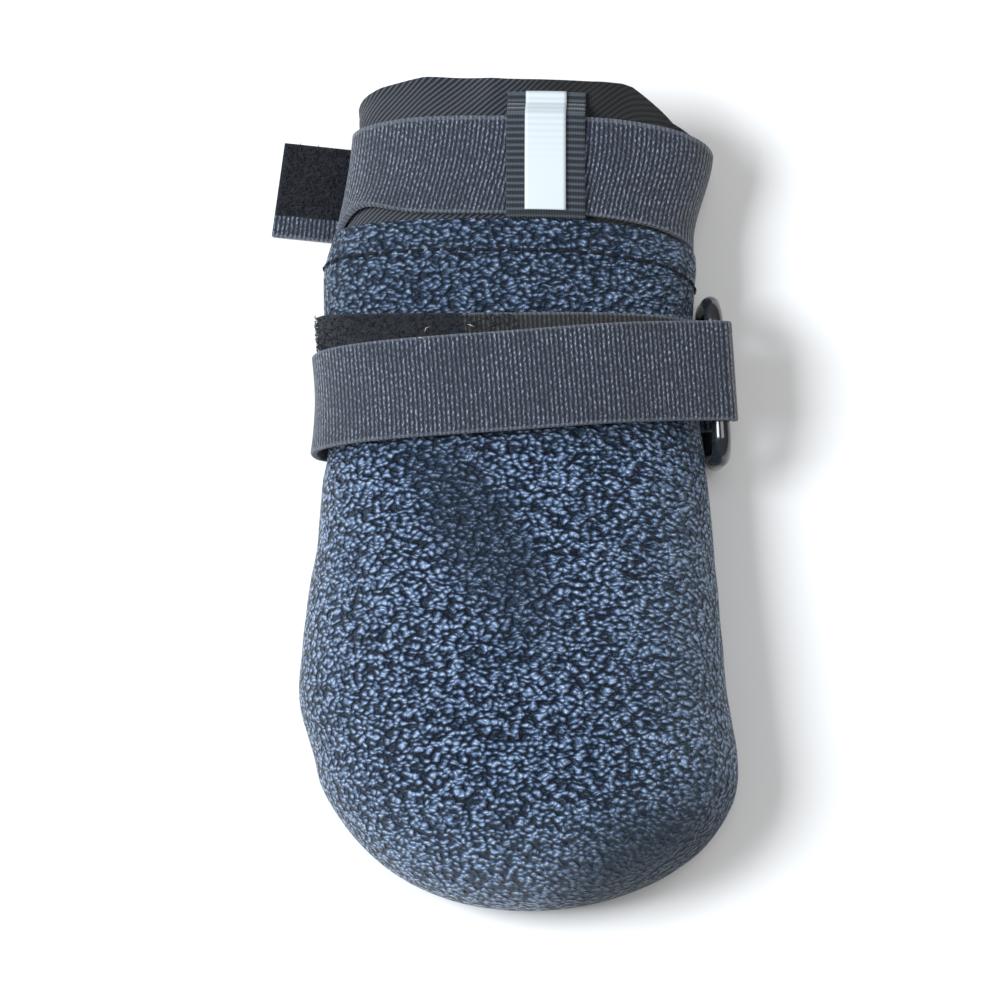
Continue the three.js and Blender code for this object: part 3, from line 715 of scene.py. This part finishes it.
# Ring frame, as for the solid
BAR_RADIUS = RING_BAR / 2
RING_PITCH = RING_WIDTH - RING_BAR
STAND_OFF = STRAP_THICKNESS + 2 * GAP + BAR_RADIUS + RING_SLACK


def unit(vector):
    return vector / np.linalg.norm(vector)


def lower_turn():
    top = skin(RING_PLACE, RING_TURN, STAND_OFF)
    near, far = RING_TURN, -89
    while near - far > 1e-3:
        middle = (near + far) / 2
        close = np.linalg.norm(skin(RING_PLACE, middle, STAND_OFF) - top) < RING_PITCH
        near, far = (middle, far) if close else (near, middle)
    return near


TAB_TURN = lower_turn()


def ring_axes():
    ends = [skin(RING_PLACE + side * RING_LENGTH, RING_TURN, STAND_OFF) for side in (-0.5, 0.5)]
    along = unit(ends[1] - ends[0])
    top = (ends[0] + ends[1]) / 2
    down = skin(RING_PLACE, TAB_TURN, STAND_OFF) - top
    down = unit(down - along * down.dot(along))
    return along, down, top + down * RING_PITCH / 2


RING_ALONG, RING_DOWN, RING_MIDDLE = ring_axes()


def bar_at(side, y):
    point = RING_MIDDLE + RING_DOWN * side * RING_PITCH / 2
    return point + RING_ALONG * (y - point[1]) / RING_ALONG[1]


def make_ring():
    """A small torus whose quarters are drawn apart into a long link."""
    deselect()
    bpy.ops.mesh.primitive_torus_add(
        major_radius=RING_CORNER * MM, minor_radius=BAR_RADIUS * MM, major_segments=64, minor_segments=24)
    piece = bpy.context.object
    piece.name = piece.data.name = "slide_ring"
    half_long = RING_LENGTH / 2 - BAR_RADIUS - RING_CORNER
    half_deep = RING_PITCH / 2 - RING_CORNER
    middle_line = 0.0001 * MM
    for corner in piece.data.vertices:
        x, y = corner.co.x, corner.co.y
        corner.co.x += math.copysign(half_long * MM, x) if abs(x) > middle_line else half_long * MM
        corner.co.y += math.copysign(half_deep * MM, y) if abs(y) > middle_line else half_deep * MM
    face = np.cross(RING_ALONG, RING_DOWN)
    place = Matrix([
        [RING_ALONG[k], RING_DOWN[k], face[k], RING_MIDDLE[k] * MM] for k in range(3)
    ] + [[0, 0, 0, 1]])
    piece.data.transform(place)
    bpy.ops.object.shade_smooth()
    return piece


def hull(points):
    """Convex outline of plan points, anticlockwise."""
    points = sorted(map(tuple, points))

    def chain(ordered):
        kept = []
        for p in ordered:
            while len(kept) > 1:
                a, b = kept[-2], kept[-1]
                if (b[0] - a[0]) * (p[1] - a[1]) - (b[1] - a[1]) * (p[0] - a[0]) > 0:
                    break
                kept.pop()
            kept.append(p)
        return kept[:-1]

    return np.array(chain(points) + chain(points[::-1]))


def evened(line, count):
    """A polyline divided into steps of one length."""
    run = np.concatenate([[0], np.cumsum(np.linalg.norm(np.diff(line, axis=0), axis=1))])
    at = np.linspace(0, run[-1], count + 1)
    return np.stack([np.interp(at, run, line[:, k]) for k in range(2)], -1)


def folded_middle(y, start, end, bar, sense, count=80):
    """Middle layer of a folded strap at the place y: along the shoe, round its bar and back."""
    centre = bar_at(-sense, y)[[0, 2]]
    turns = np.linspace(start, bar + sense * FOLD_LEAD, 49)
    under = skin(y, turns, GAP + STRAP_SLACK)[:, [0, 2]]
    towards = skin(y, bar, GAP)[[0, 2]] - centre
    towards = math.atan2(towards[1], towards[0]) % (2 * math.pi) + sense * math.radians(FOLD_LEAD)
    reach = BAR_RADIUS + GAP + STRAP_THICKNESS

    def about(angles):
        return centre + reach * np.stack([np.cos(angles), np.sin(angles)], -1)

    out = 2 * math.pi if sense > 0 else 0
    bend = about(np.linspace(towards, out, 17))
    over = 2 * (GAP + STRAP_THICKNESS) + STRAP_SLACK
    cover = skin(y, np.linspace(bar, end, 61), over)[:, [0, 2]]
    outline = hull(np.concatenate([about(np.arange(24) * math.pi / 12), cover]))
    first = int(np.argmax(outline[:, 0]))
    stop = int(np.argmin(np.linalg.norm(outline - cover[60], axis=1)))
    back = []
    i = first
    while i != stop:
        back.append(outline[i])
        i = (i + sense) % len(outline)
    back.append(outline[stop])
    stretches = []
    for line in (under, bend, np.array(back)):
        line = evened(line, count)
        heading = np.gradient(line, axis=0)
        heading /= np.linalg.norm(heading, axis=1, keepdims=True)
        side = np.stack([-heading[:, 1], heading[:, 0]], -1) * sense
        stretches.append((line, side))
    return stretches


# Where the pile ends: above the tab's ribbed edge, and left of this place on the instep strap
PILE_EDGE = 4.3
PILE_END = -8


class FoldedStrap:
    """A folded strap read at any step along it and any place y."""

    def __init__(self, low, high, **shape):
        self.places = np.arange(low, high + 0.5, 0.5)
        faces = [folded_middle(y, **shape) for y in self.places]
        self.lines = np.array([[line for line, _ in face] for face in faces])
        self.sides = np.array([[side for _, side in face] for face in faces])

    def read(self, step, y, lift):
        part = np.clip(np.floor(step).astype(int), 0, 2)
        at = (step - part) * (self.lines.shape[2] - 1)
        k = np.clip(np.floor(at).astype(int), 0, self.lines.shape[2] - 2)
        f = (at - k)[..., None]
        row = (y - self.places[0]) / (self.places[1] - self.places[0])
        j = np.clip(np.floor(row).astype(int), 0, len(self.places) - 2)
        g = (row - j)[..., None]

        def at_row(store, j):
            return store[j, part, k] * (1 - f) + store[j, part, k + 1] * f

        line = at_row(self.lines, j) * (1 - g) + at_row(self.lines, j + 1) * g
        side = at_row(self.sides, j) * (1 - g) + at_row(self.sides, j + 1) * g
        side /= np.linalg.norm(side, axis=-1, keepdims=True)
        flat = line + side * (STRAP_THICKNESS / 2 + lift)[..., None]
        return np.stack([flat[..., 0], y, flat[..., 1]], -1)


instep_face = FoldedStrap(40, 78, start=262.5, end=247.5, bar=RING_TURN, sense=1)
tab_face = FoldedStrap(46, 70, start=-82.5, end=-82.5, bar=TAB_TURN, sense=-1)


def paced(along, shares):
    """Step number for a share of the strap's length, when each stretch takes its share of it."""
    return np.interp(along, np.concatenate([[0], np.cumsum(shares)]), [0, 1, 2, 3])


def instep_points(along, across, lift=0.0):
    along, across = np.broadcast_arrays(np.asarray(along, float), np.asarray(across, float))
    step = paced(along, [0.475, 0.05, 0.475])
    y = instep_table.read("along", step) * RING_PLACE + across
    return instep_face.read(step, y, lift + 0 * y)


def ring_tab_points(along, across, lift=0.0):
    along, across = np.broadcast_arrays(np.asarray(along, float), np.asarray(across, float))
    step = paced(along, [0.42, 0.16, 0.42])
    return tab_face.read(step, RING_PLACE + across, lift + 0 * along)


# Thread and fibres
def make_topstitch(leather_piece):
    """One stitch is a short rod with rounded ends; the others are copies of it along the seam."""
    turns = np.linspace(-60, 240, 4001)
    points = skin(seam_place(turns), turns, 0)
    run = np.concatenate([[0], np.cumsum(np.linalg.norm(np.diff(points, axis=0), axis=1))])
    deselect()
    bpy.ops.mesh.primitive_uv_sphere_add(segments=8, ring_count=6, radius=0.36 * MM)
    first = bpy.context.object
    for corner in first.data.vertices:
        corner.co.z += math.copysign(0.85 * MM, corner.co.z) if abs(corner.co.z) > 1e-6 else 0
    shape = first.data
    stitches = []
    for number in range(int(run[-1] / STITCH_PITCH)):
        here = run_point(points, run, (number + 0.5) * STITCH_PITCH)
        ahead = run_point(points, run, (number + 0.6) * STITCH_PITCH)
        _, sunk, normal, _ = leather_piece.closest_point_on_mesh(Vector(here) * MM)
        aim = Vector(ahead - here).to_track_quat("Z", "X").to_matrix().to_4x4()
        stitch = bpy.data.objects.new("stitch", shape.copy())
        bpy.context.scene.collection.objects.link(stitch)
        tilt = Matrix.Rotation(math.radians(random.uniform(-4, 4)), 4, "Z")
        stitch.data.transform(Matrix.Translation(sunk + normal * 0.08 * MM) @ tilt @ aim)
        stitches.append(stitch)
    bpy.data.objects.remove(first)
    piece = join("topstitch", stitches)
    bpy.ops.object.shade_smooth()
    return piece


def run_point(points, run, at):
    return np.array([np.interp(at, run, points[:, k]) for k in range(3)])


def make_fibres(name, roots, length, radius, seed):
    """Short bent fibres: a three-sided rod of three parts is modelled once and copied to each root."""
    chance = random.Random(seed)
    deselect()
    bpy.ops.mesh.primitive_cylinder_add(vertices=3, radius=radius * MM, depth=1 * MM, end_fill_type="TRIFAN")
    first = bpy.context.object
    bpy.ops.object.mode_set(mode="EDIT")
    bpy.ops.mesh.select_all(action="SELECT")
    bpy.ops.mesh.subdivide(number_cuts=1)
    bpy.ops.object.mode_set(mode="OBJECT")
    shape = first.data
    base = np.array([corner.co[:] for corner in shape.vertices])
    share = np.rint((base[:, 2:] / MM + 0.5) * 4) / 4
    fibres = []
    for root, normal in roots:
        tall = length * chance.uniform(0.5, 1.25)
        lean = np.array([chance.gauss(0, 1), chance.gauss(0, 1), chance.gauss(0, 1)])
        side = unit(lean - normal * lean.dot(normal))
        across = np.cross(normal, side)
        bow = chance.uniform(0.5, 1.3) * tall
        line = root + normal * (tall * 0.75 * np.sin(share * 2.6)) + side * (bow * 0.8 * share)
        spots = line * MM + side * base[:, :1] + across * base[:, 1:2]
        fibre = bpy.data.objects.new("fibre", shape.copy())
        fibre.data.vertices.foreach_set("co", spots.ravel())
        bpy.context.scene.collection.objects.link(fibre)
        fibres.append(fibre)
    bpy.data.objects.remove(first)
    piece = join(name, fibres)
    face_outwards(piece)
    bpy.ops.object.shade_smooth()
    return piece


def roots_on(surface, spots, lift):
    """Root points and normals of fibres on a strap's face, from places along and across it."""
    along, across = np.array(spots).T
    foot = surface(along, across, lift)
    tip = surface(along, across, lift + 0.5 * (1 if lift > 0 else -1))
    away = tip - foot
    away /= np.linalg.norm(away, axis=1, keepdims=True)
    return list(zip(foot, away))


# Finishes
class Wire:
    """A socket that adds, multiplies and compares like a number."""

    def __init__(self, finish, socket):
        self.finish = finish
        self.socket = socket

    def maths(self, operation, *others):
        return self.finish.node("Math", {"operation": operation}, dict(enumerate([self, *others])))

    def __add__(self, other):
        return self.maths("ADD", other)

    __radd__ = __add__

    def __mul__(self, other):
        return self.maths("MULTIPLY", other)

    __rmul__ = __mul__

    def __sub__(self, other):
        return self.maths("SUBTRACT", other)

    def __rsub__(self, other):
        return self * -1 + other


class Finish:
    """A material built up from nodes."""

    def __init__(self, name, **constants):
        self.material = bpy.data.materials.new(name)
        self.material.use_nodes = True
        self.tree = self.material.node_tree
        self.shader = self.tree.nodes["Principled BSDF"]
        for socket, value in constants.items():
            self.shader.inputs[socket.replace("_", " ")].default_value = value

    def node(self, kind, settings, sockets, out=0):
        made = self.tree.nodes.new("ShaderNode" + kind)
        for name, value in settings.items():
            if name == "stops":
                self.set_stops(made.color_ramp, value)
            else:
                setattr(made, name, value)
        for name, value in sockets.items():
            self.feed(made.inputs[name], value)
        return Wire(self, made.outputs[out])

    @staticmethod
    def set_stops(ramp, stops):
        while len(ramp.elements) < len(stops):
            ramp.elements.new(0.5)
        for element, (position, colour) in zip(ramp.elements, stops):
            element.position = position
            element.color = (*colour, 1)

    def feed(self, socket, value):
        if isinstance(value, Wire):
            self.tree.links.new(value.socket, socket)
        elif isinstance(value, (tuple, list)) and len(value) == 3 and len(socket.default_value) == 4:
            socket.default_value = (*value, 1)
        else:
            socket.default_value = value

    def place(self):
        return self.node("TexCoord", {}, {}, "Object")

    def lay(self):
        return self.node("UVMap", {"uv_map": "lay"}, {}, "UV")

    def part(self, vector, axis):
        return self.node("SeparateXYZ", {}, {0: vector}, axis)

    def mapped(self, vector, turn=(0, 0, 0), scale=(1, 1, 1), move=(0, 0, 0)):
        sockets = {"Vector": vector, "Location": move, "Rotation": turn, "Scale": scale}
        return self.node("Mapping", {}, sockets)

    def cloud(self, vector, scale, detail=2.0, roughness=0.5, out=0):
        inputs = {"Vector": vector, "Scale": scale, "Detail": detail, "Roughness": roughness}
        return self.node("TexNoise", {}, inputs, out)

    def cells(self, vector, scale, feature="F1", randomness=1.0, out=0, **more):
        settings = {"feature": feature, "voronoi_dimensions": "3D"}
        inputs = {"Vector": vector, "Scale": scale, "Randomness": randomness, **more}
        return self.node("TexVoronoi", settings, inputs, out)

    def ramped(self, value, low, high, start=0.0, end=1.0):
        sockets = {0: value, 1: low, 2: high, 3: start, 4: end}
        return self.node("MapRange", {"interpolation_type": "SMOOTHSTEP"}, sockets)

    def patch(self, x, y, turn, length, width, fade=0.5):
        """1 in an oval of the plan with that middle, turn and half lengths in mm, 0 outside it."""
        sockets = {
            "Vector": self.place(), "Location": (x * MM, y * MM, 0), "Rotation": (0, 0, math.radians(turn)),
            "Scale": (length * MM, width * MM, 1)}
        spot = self.node("Mapping", {"vector_type": "TEXTURE"}, sockets)
        away = self.node("VectorMath", {"operation": "LENGTH"}, {0: spot}, "Value")
        return self.ramped(away, 1 + fade, 1 - fade)

    def wave(self, value, period):
        """From 0 to 1 and back over each period."""
        return (value * (2 * math.pi / period)).maths("SINE") * 0.5 + 0.5

    def mixed(self, share, first, second):
        return self.node("Mix", {"data_type": "RGBA"}, {0: share, 6: first, 7: second}, 2)

    def shifted(self, vector, amount, scale, reach):
        """The vector moved about by soft noise."""
        drift = self.cloud(amount, scale, 1, 0.5, "Color")
        centred = self.node("VectorMath", {"operation": "SUBTRACT"}, {0: drift, 1: (0.5, 0.5, 0.5)})
        scaled = self.node("VectorMath", {"operation": "SCALE"}, {0: centred, "Scale": reach})
        return self.node("VectorMath", {"operation": "ADD"}, {0: vector, 1: scaled})

    def bump(self, height, depth, strength=1.0, under=None):
        sockets = {"Height": height, "Distance": depth, "Strength": strength}
        if under is not None:
            sockets["Normal"] = under
        return self.node("Bump", {}, sockets)

    def dress(self, **sockets):
        for name, value in sockets.items():
            self.feed(self.shader.inputs[name.replace("_", " ")], value)
        return self.material


def leather_finish():
    """Pebbled leather with painted highlights on the tops of its grains and painted shade in the crevices
    between them; painted shade, and a rougher finish, in the hollow, by the straps and at the outer toe.
    """
    f = Finish("coated_leather", IOR=1.6, Specular_IOR_Level=0.7, Specular_Tint=(0.62, 0.80, 1.0, 1.0))
    place = f.place()
    bent = f.shifted(place, place, 420, 0.0015)
    drawn = f.mapped(bent, turn=(0, 0, math.radians(38)), scale=(0.78, 1.2, 1))
    dome = f.cells(drawn, 980, "SMOOTH_F1", 0.9, Smoothness=0.3)
    tint = f.part(f.cells(drawn, 980, "F1", 0.9, "Color"), 0)
    small = f.cloud(drawn, 2000, 2, 0.55)
    grain = f.cloud(place, 3400, 3, 0.6)
    soft = f.cloud(place, 60, 3)
    hollow = f.patch(-4.5, 28, -60, 23, 8, 0.6)
    outer_toe = f.patch(29, -41, 32, 28, 17, 0.45)
    by_straps = f.ramped(f.part(place, 1), 0.040, 0.047)
    # Painted shade: darkens the leather in the hollow, at the outer toe and by the straps, and makes it rougher
    # there
    painted_shade = (hollow * 0.7).maths("MAXIMUM", outer_toe).maths("MAXIMUM", by_straps * 0.45)
    height = (1 - dome * dome * 2.4) * (tint * 0.2 + 0.88) + (small - 0.5) * 0.5 + grain * 0.12
    # Painted shade in the crevices between the grains
    painted_crevice_shade = f.ramped(height, 0.9, 0.1)
    # Painted highlights: paler colour on the tops of the grains, left out where shade is painted
    painted_highlight = f.ramped(height, 0.62, 1.2) * f.ramped(grain, 0.35, 0.6, 0.4, 1.0) * (1 - painted_shade)
    top = f.mixed(f.ramped(soft, 0.3, 0.7), (0.160, 0.245, 0.410), (0.190, 0.280, 0.460))
    # The leather's own blue, darkened by painted shade and painted crevice shade, then paled by painted
    # highlights
    shaded_top = f.mixed(painted_shade, top, (0.005, 0.006, 0.009))
    body = f.mixed(painted_crevice_shade, shaded_top, (0.004, 0.009, 0.026))
    colour = f.mixed(painted_highlight, body, (0.54, 0.67, 0.88))
    rough = f.ramped(height, 0.2, 0.8, 0.5, 0.24) + (grain - 0.5) * 0.12 + painted_shade * 0.25
    return f.dress(Base_Color=colour, Roughness=rough, Normal=f.bump(height, 0.0013))


def webbing_finish(name, dark, light, thread):
    """Ribbed webbing: ribs across its width, broken floats along them, two paler edge cords."""
    f = Finish(name, Sheen_Weight=0.25, Sheen_Roughness=0.5, Specular_IOR_Level=0.35)
    lay = f.lay()
    wander = (f.cloud(lay, 900, 2) - 0.5) * 0.0004
    u = f.part(lay, 0) + wander
    v = f.part(lay, 1)
    rib = f.wave(u, 0.00088)
    strand = f.wave(v + u * 0.8, 0.00105)
    fleck = f.cloud(f.mapped(lay, scale=(1.7, 0.8, 1)), 1700, 3, 0.6)
    fuzz = f.cloud(f.place(), 2200, 3, 0.7)
    patch = f.cloud(f.place(), 110, 2)
    edge = f.ramped(v, 0.0007, 0.0002) + f.ramped(v, STRAP_WIDTH * MM - 0.0007, STRAP_WIDTH * MM - 0.0002)
    floats = f.ramped(rib, 0.3, 0.9) * f.ramped(fleck, 0.46, 0.6) * (strand * 0.5 + 0.5)
    height = rib * 0.8 + strand * 0.3 + fuzz * 0.5 + floats * 0.5
    body = f.mixed(f.ramped(rib, 0.1, 0.75), dark, light)
    lit = f.mixed(floats * f.ramped(patch, 0.25, 0.6, 0.45, 0.95), body, thread)
    colour = f.mixed(edge * f.ramped(fuzz, 0.35, 0.6, 0.2, 0.7), lit, (0.15, 0.165, 0.20))
    return f.dress(Base_Color=colour, Roughness=fuzz * 0.2 + 0.62, Normal=f.bump(height, 0.00024))


def pile_finish():
    f = Finish("loop_pile", Sheen_Weight=0.12, Sheen_Roughness=0.6, Specular_IOR_Level=0.15)
    place = f.place()
    tangle = f.cloud(f.shifted(place, place, 900, 0.0012), 1500, 5, 0.75)
    clump = f.cloud(place, 320, 3, 0.6)
    height = tangle * 0.8 + clump
    colour = f.mixed(f.ramped(tangle, 0.35, 0.7), (0.004, 0.005, 0.008), (0.019, 0.021, 0.032))
    return f.dress(Base_Color=colour, Roughness=tangle * 0.2 + 0.75, Normal=f.bump(height, 0.0008))


def fibre_finish(name, colour):
    f = Finish(name, Sheen_Weight=0.05, Specular_IOR_Level=0.2)
    place = f.place()
    shade = f.cloud(place, 1400, 2)
    tone = f.mixed(f.ramped(shade, 0.3, 0.7), tuple(0.6 * c for c in colour), colour)
    return f.dress(Base_Color=tone, Roughness=shade * 0.3 + 0.55)


def twill_finish():
    """Lining cloth: slanting ribs, paler on the side that faces the light."""
    f = Finish("twill_lining", Sheen_Weight=0.2, Sheen_Roughness=0.5, Specular_IOR_Level=0.3)
    lay = f.lay()
    u, v = f.part(lay, 0), f.part(lay, 1)
    slant = f.wave(u + v * 1.15 + (f.cloud(lay, 500, 2) - 0.5) * 0.00025, 0.00135)
    cross = f.wave(u - v * 1.3, 0.0011)
    fuzz = f.cloud(f.place(), 2300, 3, 0.65)
    side = f.ramped(f.part(f.place(), 0), -0.004, 0.012)
    height = slant * 0.9 + cross * 0.3 + fuzz * 0.4
    left = f.mixed(f.ramped(slant, 0.45, 0.9), (0.009, 0.010, 0.014), (0.072, 0.081, 0.095))
    right = f.mixed(slant, (0.006, 0.0065, 0.0065), (0.016, 0.0165, 0.016))
    colour = f.mixed(side, left, right)
    return f.dress(Base_Color=colour, Roughness=fuzz * 0.2 + 0.68, Normal=f.bump(height, 0.00025))


def ribbon_finish():
    f = Finish("ribbed_ribbon", Sheen_Weight=0.2, Specular_IOR_Level=0.35)
    lay = f.lay()
    rib = f.wave(f.part(lay, 1), 0.00125)
    thread = f.wave(f.part(lay, 0), 0.0005)
    fuzz = f.cloud(f.place(), 2000, 3, 0.6)
    colour = f.mixed(f.ramped(rib, 0.2, 0.95), (0.010, 0.013, 0.017), (0.060, 0.077, 0.095))
    height = rib + thread * 0.15 + fuzz * 0.3
    return f.dress(Base_Color=colour, Roughness=fuzz * 0.15 + 0.6, Normal=f.bump(height, 0.0003))


def tape_finish():
    f = Finish("reflective_tape", Specular_IOR_Level=0.6)
    lay = f.lay()
    pressed = f.wave(f.part(lay, 1), 0.00125)
    fade = f.ramped(f.part(lay, 1), 0.006, 0.022)
    speck = f.cells(f.place(), 5200, "F1")
    colour = f.mixed(pressed * fade * 0.45, (0.62, 0.665, 0.68), (0.45, 0.49, 0.515))
    colour = f.mixed(f.ramped(speck, 0.5, 0.9) * 0.12, colour, (0.62, 0.68, 0.72))
    return f.dress(Base_Color=colour, Roughness=speck * 0.1 + 0.4, Normal=f.bump(pressed * fade, 0.00004))


def ring_finish():
    f = Finish("ring_plastic", Specular_IOR_Level=0.6, Coat_Roughness=0.08)
    place = f.place()
    smear = f.cloud(place, 190, 4, 0.6)
    scratch = f.cloud(f.mapped(place, scale=(1, 0.15, 1)), 1500, 2)
    colour = f.mixed(f.ramped(smear, 0.3, 0.7), (0.008, 0.009, 0.011), (0.018, 0.019, 0.022))
    return f.dress(
        Base_Color=colour, Roughness=smear * 0.12 + scratch * 0.08 + 0.08,
        Coat_Weight=f.ramped(smear, 0.2, 0.7, 0.4, 0.7), Normal=f.bump(smear, 0.00006))


def sole_finish():
    f = Finish("sole_rubber", Specular_IOR_Level=0.35)
    place = f.place()
    speckle = f.cells(place, 1500, "F1")
    dust = f.cloud(place, 130, 5, 0.65)
    colour = f.mixed(f.ramped(dust, 0.35, 0.75), (0.016, 0.017, 0.019), (0.032, 0.033, 0.036))
    return f.dress(Base_Color=colour, Roughness=dust * 0.2 + 0.6, Normal=f.bump(speckle * 0.6 + dust, 0.00016))


def foot_bed_finish():
    f = Finish("foot_bed_cloth", Sheen_Weight=0.3, Specular_IOR_Level=0.2)
    place = f.place()
    knit = f.cells(f.mapped(place, turn=(0, 0, math.radians(45))), 900, "DISTANCE_TO_EDGE", 0.15)
    fuzz = f.cloud(place, 1800, 3, 0.6)
    colour = f.mixed(f.ramped(knit, 0, 0.3), (0.012, 0.012, 0.014), (0.034, 0.035, 0.040))
    relief = f.ramped(knit, 0, 0.35) + fuzz * 0.3
    return f.dress(Base_Color=colour, Roughness=fuzz * 0.2 + 0.75, Normal=f.bump(relief, 0.0003))


leather = leather_finish()
strap_cloth = webbing_finish("strap_webbing", (0.007, 0.009, 0.015), (0.032, 0.040, 0.063), (0.33, 0.39, 0.51))
pile_cloth = pile_finish()
twill = twill_finish()

upper = complete(make_upper(), "upper", "coated_leather", leather)
sole = complete(make_sole(), "sole", "sole_rubber", sole_finish())
insole = complete(make_insole(), "insole", "foot_bed", foot_bed_finish())
cuff = complete(make_cuff(), "cuff", "cuff_twill", twill)

ankle = strap_sheet("ankle_webbing", ankle_points, 420, STRAP_WIDTH)
give_wall(ankle, STRAP_THICKNESS, 0)
round_edges(ankle, 0.3)
tab_edge = skin(strap_line(-127.5), -127.5, 0)[0]
complete(ankle, "ankle_strap", "strap_webbing", strap_cloth, pile_cloth)
pick_faces(ankle, 1, lambda place, normal, lay: (
    normal.z > 0.5 and place.z < 2.2 and place.x < tab_edge and lay.y > PILE_EDGE))

instep = strap_sheet("instep_webbing", instep_points, 460, STRAP_WIDTH)
give_wall(instep, STRAP_THICKNESS, 0)
round_edges(instep, 0.3)
# A darker copy of the strap webbing: painted shade on the instep strap's lower layer right of the pile, where
# the upper layer shades it
shaded_webbing = webbing_finish("strap_webbing_in_painted_shade", (0.005, 0.005, 0.005), (0.020, 0.019, 0.020), (0.085, 0.080, 0.078))
complete(instep, "instep_strap", "strap_webbing", strap_cloth, pile_cloth, shaded_webbing)
under_length = 0.46 * max(spot.uv.x for spot in instep.data.uv_layers["lay"].data) / MM
# The lower layer's open face: the darker webbing copy (painted shade) right of the pile's end, pile left of it
pick_faces(instep, 2, lambda place, normal, lay: normal.z > 0.2 and lay.x < under_length and place.x >= PILE_END)
pick_faces(instep, 1, lambda place, normal, lay: normal.z > 0.2 and lay.x < under_length and place.x < PILE_END)

ring_tab = strap_sheet("ring_holder", ring_tab_points, 160, RING_TAB_WIDTH)
give_wall(ring_tab, STRAP_THICKNESS, 0)
round_edges(ring_tab, 0.3)
complete(ring_tab, "ring_tab", "strap_webbing", strap_cloth)

# Loops of the pile where it lies open: on the tab, and on the instep strap's lower layer
chance = random.Random(11)
tab_spots = [(chance.uniform(0.915, 0.998), chance.uniform(PILE_EDGE, STRAP_WIDTH - 0.4) - STRAP_WIDTH / 2)
             for _ in range(1500)]
strip_spots = [(chance.uniform(0.13, 0.345), chance.uniform(-3, STRAP_WIDTH / 2 - 0.2)) for _ in range(1700)]
loops = make_fibres("pile_loops", roots_on(ankle_points, tab_spots, -STRAP_THICKNESS / 2)
                    + roots_on(instep_points, strip_spots, STRAP_THICKNESS / 2), 0.75, 0.07, 5)
complete(loops, None, "strap_webbing", fibre_finish("pile_loops", (0.026, 0.028, 0.042)))

# Three short pale hairs caught in the pile
hair_roots = roots_on(instep_points, [(0.262, 4.5), (0.268, 5.5), (0.31, 6.5)], STRAP_THICKNESS / 2 + 0.3)
hairs = make_fibres("caught_hairs", hair_roots, 3.2, 0.09, 23)
complete(hairs, None, "strap_webbing", fibre_finish("pale_hair", (0.62, 0.60, 0.55)))

complete(make_keeper(), "strap_keeper", "keeper_ribbon", ribbon_finish())
complete(make_stripe(), "reflective_stripe", "reflective_tape", tape_finish())
complete(make_ring(), "strap_ring", "ring_plastic", ring_finish())
complete(make_topstitch(upper), None, "coated_leather", fibre_finish("seam_thread", (0.008, 0.010, 0.016)))

# Floor, light and camera
deselect()
bpy.ops.mesh.primitive_plane_add(size=4, location=(0, 0, -0.0002))
floor = bpy.context.object
floor.name = "floor"
paper = Finish("pale_paper", Specular_IOR_Level=0.2)
mottle = paper.cloud(paper.place(), 30, 3)
paper.dress(
    Base_Color=paper.mixed(mottle, (0.94, 0.915, 0.885), (0.96, 0.935, 0.905)), Roughness=mottle * 0.1 + 0.8)
floor.data.materials.append(paper.material)


def soft_light(name, place, aim, size, power, colour):
    light = bpy.data.lights.new(name, "AREA")
    light.shape = "RECTANGLE"
    light.size, light.size_y = size
    light.energy = power
    light.color = colour
    lamp = bpy.data.objects.new(name, light)
    lamp.location = place
    lamp.rotation_euler = (Vector(aim) - Vector(place)).to_track_quat("-Z", "Y").to_euler()
    bpy.context.scene.collection.objects.link(lamp)


soft_light("window_light", (-0.54, 0.08, 0.68), (0, 0.03, 0), (0.40, 0.42), 9.3, (0.86, 0.93, 1.0))
soft_light("ceiling_light", (0.26, 0.08, 0.86), (0, 0.03, 0), (0.5, 0.5), 3.0, (0.93, 0.96, 1.0))

world = bpy.data.worlds.new("studio")
bpy.context.scene.world = world
world.use_nodes = True
world.node_tree.nodes["Background"].inputs["Color"].default_value = (0.96, 0.98, 1.0, 1)
world.node_tree.nodes["Background"].inputs["Strength"].default_value = 0.24
bpy.context.scene.view_settings.view_transform = "Standard"

camera_data = bpy.data.cameras.new("photo_camera")
camera = bpy.data.objects.new("photo_camera", camera_data)
bpy.context.scene.collection.objects.link(camera)
bpy.context.scene.camera = camera
eye = Vector((58.3, -48.5, 600)) * MM
aim = Vector((-3, 36.5, 10)) * MM
back = (eye - aim).normalized()
right = Vector((0, 1, 0)).cross(back).normalized()
up = back.cross(right)
camera.matrix_world = Matrix([
    [right[k], up[k], back[k], eye[k]] for k in range(3)
] + [[0, 0, 0, 1]])
camera_data.sensor_width = 36
camera_data.lens = 112
camera_data.clip_start = 0.01
